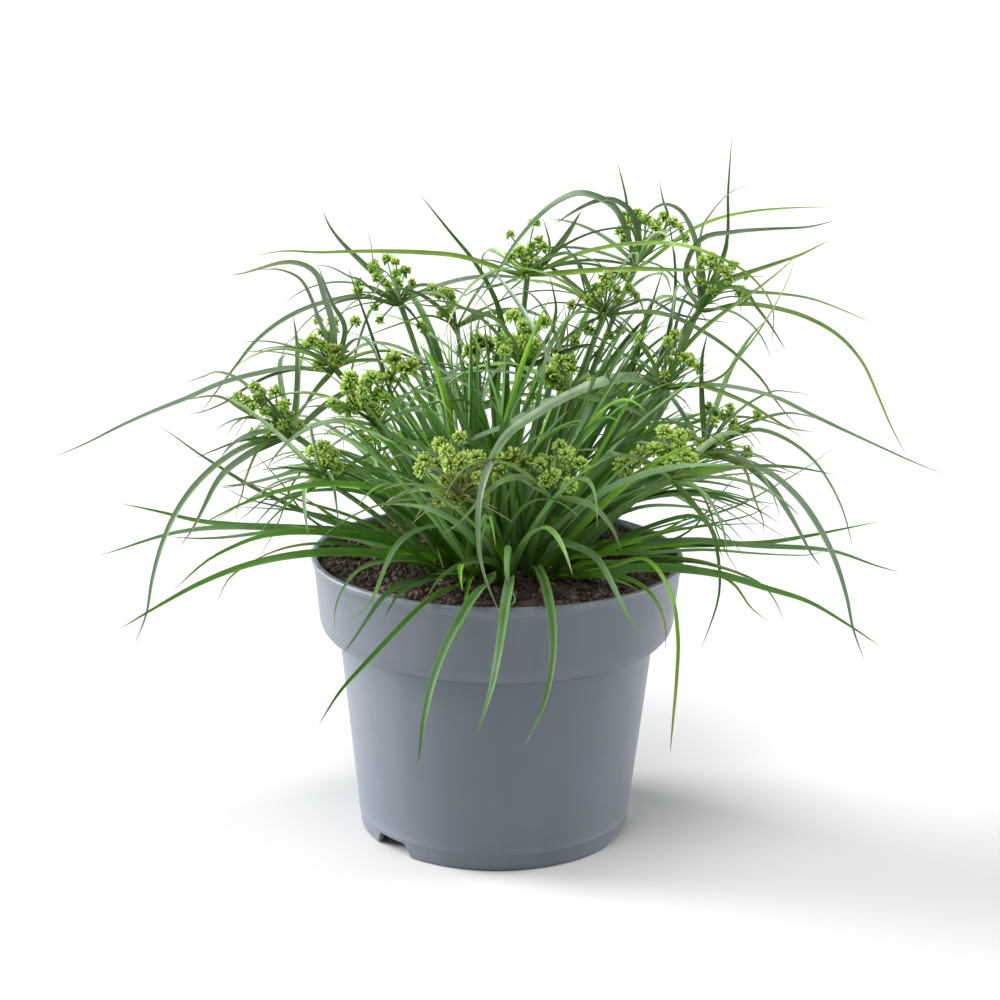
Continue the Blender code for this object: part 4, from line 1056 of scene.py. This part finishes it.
def build_umbel(name, fork, middle, radius, look, nodes, rays, extra_olive=()):
    """Rays from the fork, each ending in a flower cluster; the rays are one growth with the stalk."""
    hidden, size, tint, dry, seen = look
    rng = np.random.default_rng(sum(map(ord, name)) * 7 + 3)
    heads = Pile()
    depth = middle[1]
    spots = []
    for x, y in seen:
        flat = seen_at(x, y, depth)
        off = np.linalg.norm((flat - middle)[[0, 2]])
        room = math.sqrt(max((radius * 1.02) ** 2 - off**2, 0.0))
        spots.append(seen_at(x, y, depth - room * (0.9 * rng.random() - 0.15)))
    spots += hidden_clusters(rng, fork, middle, radius, hidden)
    style = "burst" if size > 0.005 else "fluffy" if tint > 0.56 else "star"
    if style == "star":
        tint, dry = tint + 0.22, 0.4 * dry
    jobs = [(spot, size, tint, dry, style) for spot in spots]
    jobs += [(seen_at(x, y, depth - 0.3 * radius), r, 0.60, 0.50, "burst") for (x, y), r in extra_olive]
    hub = fork + (middle - fork) * 0.12
    for spot, r, shade, old, kind in jobs:
        way = spot - hub
        span = np.linalg.norm(way)
        if span > 0.002:
            belly = hub + way * 0.5 + np.array([0.0, 0.0, 0.10 * span]) + 0.05 * span * rng.standard_normal(3)
            route = smooth_route([hub, belly, spot], 7)
            thin = 0.00062 if span < 0.02 else 0.00052
            add_stalk(rays, route, np.full(7, thin), 5, 0.45 + 0.2 * rng.random(), dry=0.5 * (name == "front_pale") * rng.random())
        grown = 0.98 + 0.26 * rng.random() if kind == "fluffy" else 0.84 + 0.34 * rng.random()
        cluster(heads, spot, unit(way + 1e-9), r * grown, shade, old, rng, kind)
    for _ in range(5 if radius > 0.012 else 2):
        turn = rng.random() * 2 * np.pi
        bit = arching(hub, turn, 0.3 + 0.8 * rng.random(), 0.010 + 0.016 * rng.random(), 0.9, 0.2, count=8)
        add_blade(rays, bit, 0.0014 + 0.0010 * rng.random(), "green", rng, radial_wish(bit, rng), rings=9)
    for _ in range(46 if name == "front_pale" else 0):
        turn = rng.random() * 2 * np.pi
        hair = arching(hub, turn, 1.5 * rng.random() - 0.2, 0.014 + 0.022 * rng.random(), 0.6, 0.4, count=8)
        add_stalk(rays, hair, np.linspace(0.00040, 0.00022, 8), 4, 0.9, dry=0.75)
    return heads.make(f"flowers_{name}", head_paint, "flower_green", nodes, columns=1.5, sharp=75.0)


def culm(name, foot, fork, thick=0.0026, top=0.0016):
    """The stalk, run a little into the soil below and into the fork above."""
    route = culm_route(foot - np.array([0.0, 0.0, 0.006]), fork, 18)
    pile = Pile()
    rng = np.random.default_rng(len(name) + 5)
    radii = np.linspace(thick, top, 18)
    radii[-2:] *= (1.12, 1.25)
    add_stalk(pile, route, radii, 9, 0.35 + 0.25 * rng.random(), ribs=0.10)
    return pile


# The stalks and umbels
forks, middles, spans = {}, {}, {}
for umbel, look in HEADS.items():
    foot, fork = culm_ends(f"culm_{umbel}")
    low, high = (np.array(corner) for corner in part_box(f"flower_head_{umbel}"))
    forks[umbel] = fork
    middles[umbel] = np.array([(low[0] + high[0]) / 2, (low[1] + high[1]) / 2, high[2] - (high[0] - low[0]) / 2])
    spans[umbel] = (high[0] - low[0]) / 2
    growth = culm(umbel, foot, fork)
    olive = [(spot, r) for owner, spot, r in OLIVE if owner == umbel]
    build_umbel(umbel, fork, middles[umbel], spans[umbel], look, (f"flower_head_{umbel}",), growth, olive)
    growth.make(f"stalk_{umbel}", culm_paint, "culm_green", (f"culm_{umbel}",), columns=1.0)

for umbel, foot, fork_seen, middle_seen, depth, radius, tint, dry in SMALL_UMBELS:
    fork, middle = seen_at(*fork_seen, depth), seen_at(*middle_seen, depth)
    forks[umbel], middles[umbel], spans[umbel] = fork, middle, radius
    growth = culm(umbel, rooted(foot), fork, thick=0.0022, top=0.0013)
    rng = np.random.default_rng(len(umbel) * 31)
    count = 4 + int(radius / 0.0028)
    ways = unit(rng.standard_normal((count, 3)) + np.array([0.0, 0.0, 0.6]))
    seen = shown_at(middle + ways * radius * 0.75)
    look = (3 if radius > 0.012 else 0, 0.0042, tint, dry, [tuple(s) for s in seen])
    build_umbel(umbel, fork, middle, radius, look, (), growth)
    growth.make(f"stalk_{umbel}", culm_paint, "culm_green", columns=1.0)

# The long blades that have solids
for node in sorted(NODES):
    if not node.startswith(("bract_", "leaf_")):
        continue
    middle_line, width = centreline(node)
    rng = np.random.default_rng(sum(map(ord, node)))
    pile = Pile()
    is_leaf = node.startswith("leaf_")
    if is_leaf:
        start = middle_line[0] - unit(middle_line[1] - middle_line[0]) * 0.006
    else:
        start = forks[node.split("_", 2)[2]]
    points = np.vstack([start[None], middle_line]) if not is_leaf else np.vstack([start[None], middle_line[1:]])
    tone = {"bract_01_upper_left": "glaucous", "bract_02_high_left": "glaucous", "bract_04_high_middle": "fresh", "bract_03_left": "glaucous", "bract_10_right": "glaucous",
            "bract_11_right_inner": "glaucous", "bract_05_high_middle": "lime", "bract_07_high_right": "lime", "bract_08_upper_right": "olive",
            "bract_09_right_inner": "glaucous", "leaf_front_far_right": "tipped", "bract_06_high_right": "glaucous",
            "leaf_low_left_front": "green", "leaf_front_right": "dark",
            "leaf_front_left": "teal", "leaf_front_middle": "waxy", "leaf_front_far_left": "dark"}.get(node, "green")
    wish = sight(rng) if not node.startswith("leaf_back") else SKY
    roll, twist = 0.15 * rng.standard_normal(), 0.3 * rng.standard_normal()
    hanging = node.startswith("leaf_front")
    width *= 0.78 if node == "leaf_front_far_left" else 0.96 if hanging else 0.86 if is_leaf else 0.78
    if node == "bract_11_right_inner":
        wish, roll, twist, tone, width = np.array([-0.45, -1.0, 0.35]), 0.0, 0.1, "glaucous", 0.0068
    add_blade(pile, points, width, tone, rng, wish, roll=roll, twist=twist, rings=60, vary=0.06,
              taper=4.0 if hanging else 2.3)
    paint, slot = (leaf_paint, "leaf_green") if is_leaf else (bract_paint, "bract_green")
    pile.make("long_" + node, paint, slot, (node,), columns=1.0)

# The other bracts: those the photograph shows, then those that it hides or foreshortens
bract_piles = {umbel: Pile() for umbel in forks}
rng = np.random.default_rng(21)
for umbel, width, tip_depth, tone, seen in BRACTS:
    points = traced(forks[umbel], seen, tip_depth)
    add_blade(bract_piles[umbel], points, 0.82 * width / 1000, tone, rng, sight(rng),
              roll=0.2 * rng.standard_normal(), twist=0.35 * rng.standard_normal(), vary=0.10)
for umbel, pile in bract_piles.items():
    rng = np.random.default_rng(sum(map(ord, umbel)))
    own = 4 if umbel.startswith("back") else 2
    for index in range(own + 5):
        forward = index == own and forks[umbel][1] < 0.09
        around = index > own
        for _ in range(6):
            aside = (180 * rng.random() if around else 20 + 50 * rng.random()) * rng.choice([-1, 1])
            bearing = math.radians((-90 if forward else 90) + aside)
            length = (0.05 if forward or around else 0.09) + (0.08 if around else 0.06) * rng.random()
            slope = (0.1 + 0.95 * rng.random()) if around else (0.25 + 0.5 * rng.random())
            route = arching(forks[umbel], bearing, slope, length, 0.6 + 1.3 * rng.random(), 0.4 * rng.standard_normal())
            seen = shown_at(route)
            inside = (np.abs(route[:, 1]) < 0.204) & (route[:, 2] > 0.19)
            inside &= (seen[:, 1] > np.interp(seen[:, 0], *np.array(HULL).T)) & (np.abs(seen[:, 0] - 515) < 300)
            if inside[:14].all():
                break
        else:
            if around or not umbel.startswith("back"):
                continue
        inside[:8] = True
        route = route[: int(np.argmin(inside))] if not inside.all() else route
        tone = pick(rng, {"green": 4, "glaucous": 3, "dark": 1.5, "pale": 2, "lime": 1, "tipped": 1})
        add_blade(pile, route, (0.0020 if around else 0.0030) + 0.0020 * rng.random(), tone, rng, radial_wish(route, rng),
                  roll=0.3 * rng.standard_normal(), twist=0.4 * rng.standard_normal(), rings=20)
    pile.make(f"bracts_{umbel}", bract_paint, "bract_green")

# The leaves: those the photograph shows, then the rest of the tuft
leaf_piles = {side: Pile() for side in ("left", "right", "front", "back", "middle")}


def side_of(route):
    x, y = route[-1, 0] - route[0, 0], route[-1, 1] - route[0, 1]
    if math.hypot(x, y) < 0.06:
        return "middle"
    if abs(x) > abs(y):
        return "right" if x > 0 else "left"
    return "back" if y > 0 else "front"


def grow(start, bearing, slope, length, bend, drift, width, tones, rng):
    """One filling leaf, left out if the tuft's outline would shorten it much."""
    free = arching(start, bearing, slope, length, bend, drift)
    lifted = over_rim(free)
    route = outline_cut(lifted)
    share = len(route) / len(free)
    if share < 0.66 or np.abs(lifted - free)[: len(route)].max() > 0.007:
        return False
    x, y = shown_at(smooth_route(route, 50)).T
    if any(((x > left) & (x < right) & (y > high) & (y < deep)).any() for left, right, high, deep in RIM_WINDOWS):
        return False
    tone = pick(rng, tones)
    add_blade(leaf_piles[side_of(route)], route, width * (0.4 + 0.6 * share), tone, rng, radial_wish(route, rng),
              roll=0.65 * rng.standard_normal(), twist=0.7 * rng.standard_normal(), rings=20)
    return True


def grow_shoots(rng, shoots=30):
    """The tuft is many shoots side by side, each with leaves in three ranks that leave it one by one."""
    for index in range(shoots):
        bearing = index * 2.39996
        spread = math.sqrt((index + 0.5) / shoots)
        foot = (0.034 * spread * math.cos(bearing), 0.036 * spread * math.sin(bearing) - 0.004)
        lean = math.radians(4 + 36 * spread + 8 * rng.standard_normal())
        axis = np.array([math.cos(bearing) * math.sin(lean), math.sin(bearing) * math.sin(lean), math.cos(lean)])
        kept, tried = 0, 0
        while kept < 6 and tried < 26:
            rank = bearing + math.radians(120 * tried) + 0.45 * rng.standard_normal()
            way = unit(axis + (0.12 + 0.42 * rng.random()) * np.array([math.cos(rank), math.sin(rank), 0.0]))
            slope = math.asin(min(way[2], 0.998))
            heading = math.atan2(way[1], way[0])
            length = 0.14 + 0.18 * rng.random()
            bend = math.radians(10 + 85 * rng.random() ** 1.3 * (0.5 + 0.6 * spread))
            start = rooted(foot) + 0.003 * rng.standard_normal(3) * (1, 1, 0)
            kept += grow(start, heading, slope, length, bend, 0.34 * rng.standard_normal(), 0.0034 + 0.0030 * rng.random(),
                         {"green": 4.6, "dark": 4, "glaucous": 4.6, "fresh": 1.7, "pale": 1.3, "olive": 0.3}, rng)
            tried += 1


def grow_skirt(rng, count=54):
    """Outer leaves that lie out low over the rim, to the sides and to the back."""
    kept, tried = 0, 0
    while kept < count and tried < 2400:
        tried += 1
        bearing = math.radians(rng.choice([0, 180, 90, 15, 165, -10, 190]) + 20 * rng.standard_normal())
        if math.sin(bearing) < -0.45:
            continue
        foot = (0.038 * math.cos(bearing), 0.038 * math.sin(bearing) - 0.004)
        slope = math.radians(14 + 30 * rng.random())
        length = 0.15 + 0.14 * rng.random()
        bend = math.radians(15 + 55 * rng.random())
        kept += grow(rooted(foot), bearing, slope, length, bend, 0.35 * rng.standard_normal(), 0.0038 + 0.0024 * rng.random(),
                     {"green": 2.6, "dark": 0.6, "glaucous": 2.2, "fresh": 6, "lime": 3, "pale": 1.6, "tipped": 0.6}, rng)


rng = np.random.default_rng(33)
mirrored = [((-foot[0], foot[1]), width, depth, tone, tuple((MIRROR_SPAN - x, y - MIRROR_LIFT) for x, y in seen))
            for foot, width, depth, tone, seen in SIDE_LEAVES]
for foot, width, tip_depth, tone, seen in (*LEAVES, *SIDE_LEAVES, *mirrored):
    route = over_rim(smooth_route(traced(rooted(foot), seen, tip_depth), 40))
    add_blade(leaf_piles[side_of(route)], route, 0.88 * width / 1000, tone, rng, sight(rng),
              roll=0.2 * rng.standard_normal(), twist=0.35 * rng.standard_normal(), vary=0.10)

grow_shoots(np.random.default_rng(47))
grow_skirt(np.random.default_rng(53))
for side, pile in leaf_piles.items():
    pile.make(f"leaves_{side}", leaf_paint, "leaf_green")

build_pot()
build_soil()
build_crumbs()


# Floor, light and camera

def stage_paint():
    p = Paint("floor", Specular_IOR_Level=0.1)
    base = p.blend(p.range(p.grain(2.0), 0.3, 0.7, 0.0, 1.0), (0.69, 0.69, 0.69), (0.71, 0.71, 0.71))
    return p.finish(base, 0.9)


mesh = bpy.data.meshes.new("floor")
mesh.from_pydata([(-6, -6, -0.0004), (6, -6, -0.0004), (6, 6, -0.0004), (-6, 6, -0.0004)], [], [(0, 1, 2, 3)])
mesh.materials.append(stage_paint())
floor = bpy.data.objects.new("floor", mesh)
bpy.context.scene.collection.objects.link(floor)

world = bpy.data.worlds.new("studio")
bpy.context.scene.world = world
world.use_nodes = True
tree = world.node_tree
sky = tree.nodes["Background"]
sky.inputs["Color"].default_value = (0.97, 0.985, 1.0, 1.0)
sky.inputs["Strength"].default_value = 0.15
plain = tree.nodes.new("ShaderNodeBackground")
plain.inputs["Color"].default_value = (1.0, 1.0, 1.0, 1.0)
path = tree.nodes.new("ShaderNodeLightPath")
gleam = tree.nodes.new("ShaderNodeBackground")
gleam.inputs["Color"].default_value = (0.96, 0.98, 1.0, 1.0)
gleam.inputs["Strength"].default_value = 0.75
lit = tree.nodes.new("ShaderNodeMixShader")
tree.links.new(path.outputs["Is Glossy Ray"], lit.inputs[0])
tree.links.new(sky.outputs[0], lit.inputs[1])
tree.links.new(gleam.outputs[0], lit.inputs[2])
both = tree.nodes.new("ShaderNodeMixShader")
tree.links.new(path.outputs["Is Camera Ray"], both.inputs[0])
tree.links.new(lit.outputs[0], both.inputs[1])
tree.links.new(plain.outputs[0], both.inputs[2])
tree.links.new(both.outputs[0], tree.nodes["World Output"].inputs["Surface"])


def soft_sun(name, bearing, elevation, strength, spread):
    """Even light from a bearing, counted from the viewer towards +X, as a very wide soft box gives it."""
    data = bpy.data.lights.new(name, "SUN")
    data.energy = strength
    data.angle = math.radians(spread)
    made = bpy.data.objects.new(name, data)
    a, e = math.radians(bearing), math.radians(elevation)
    way = Vector((math.sin(a) * math.cos(e), -math.cos(a) * math.cos(e), math.sin(e)))
    made.location = way * 2.0
    made.rotation_euler = way.to_track_quat("Z", "Y").to_euler()
    bpy.context.scene.collection.objects.link(made)


soft_sun("left_soft", -107, 14, 7.2, 34)
soft_sun("top_soft", -30, 66, 1.50, 30)
soft_sun("high_soft", 20, 84, 1.05, 30)
soft_sun("right_soft", 106, 14, 2.8, 34)

lens = bpy.data.cameras.new("photo_view")
lens.sensor_width = SENSOR
lens.lens = SENSOR * VIEW_FOCAL / FRAME_SIDE
lens.shift_x = (FRAME_SIDE / 2 - VIEW_MIDDLE[0]) / FRAME_SIDE
lens.clip_start = 0.05
lens.clip_end = 30.0
camera = bpy.data.objects.new("photo_view", lens)
side = RIGHT * math.cos(VIEW_ROLL) + UPWARD * math.sin(VIEW_ROLL)
top = UPWARD * math.cos(VIEW_ROLL) - RIGHT * math.sin(VIEW_ROLL)
turned = Matrix([side, top, -FORWARD]).transposed()
camera.matrix_world = Matrix.Translation(Vector(EYE)) @ turned.to_4x4()
bpy.context.scene.collection.objects.link(camera)
bpy.context.scene.camera = camera
bpy.context.scene.view_settings.view_transform = "Standard"
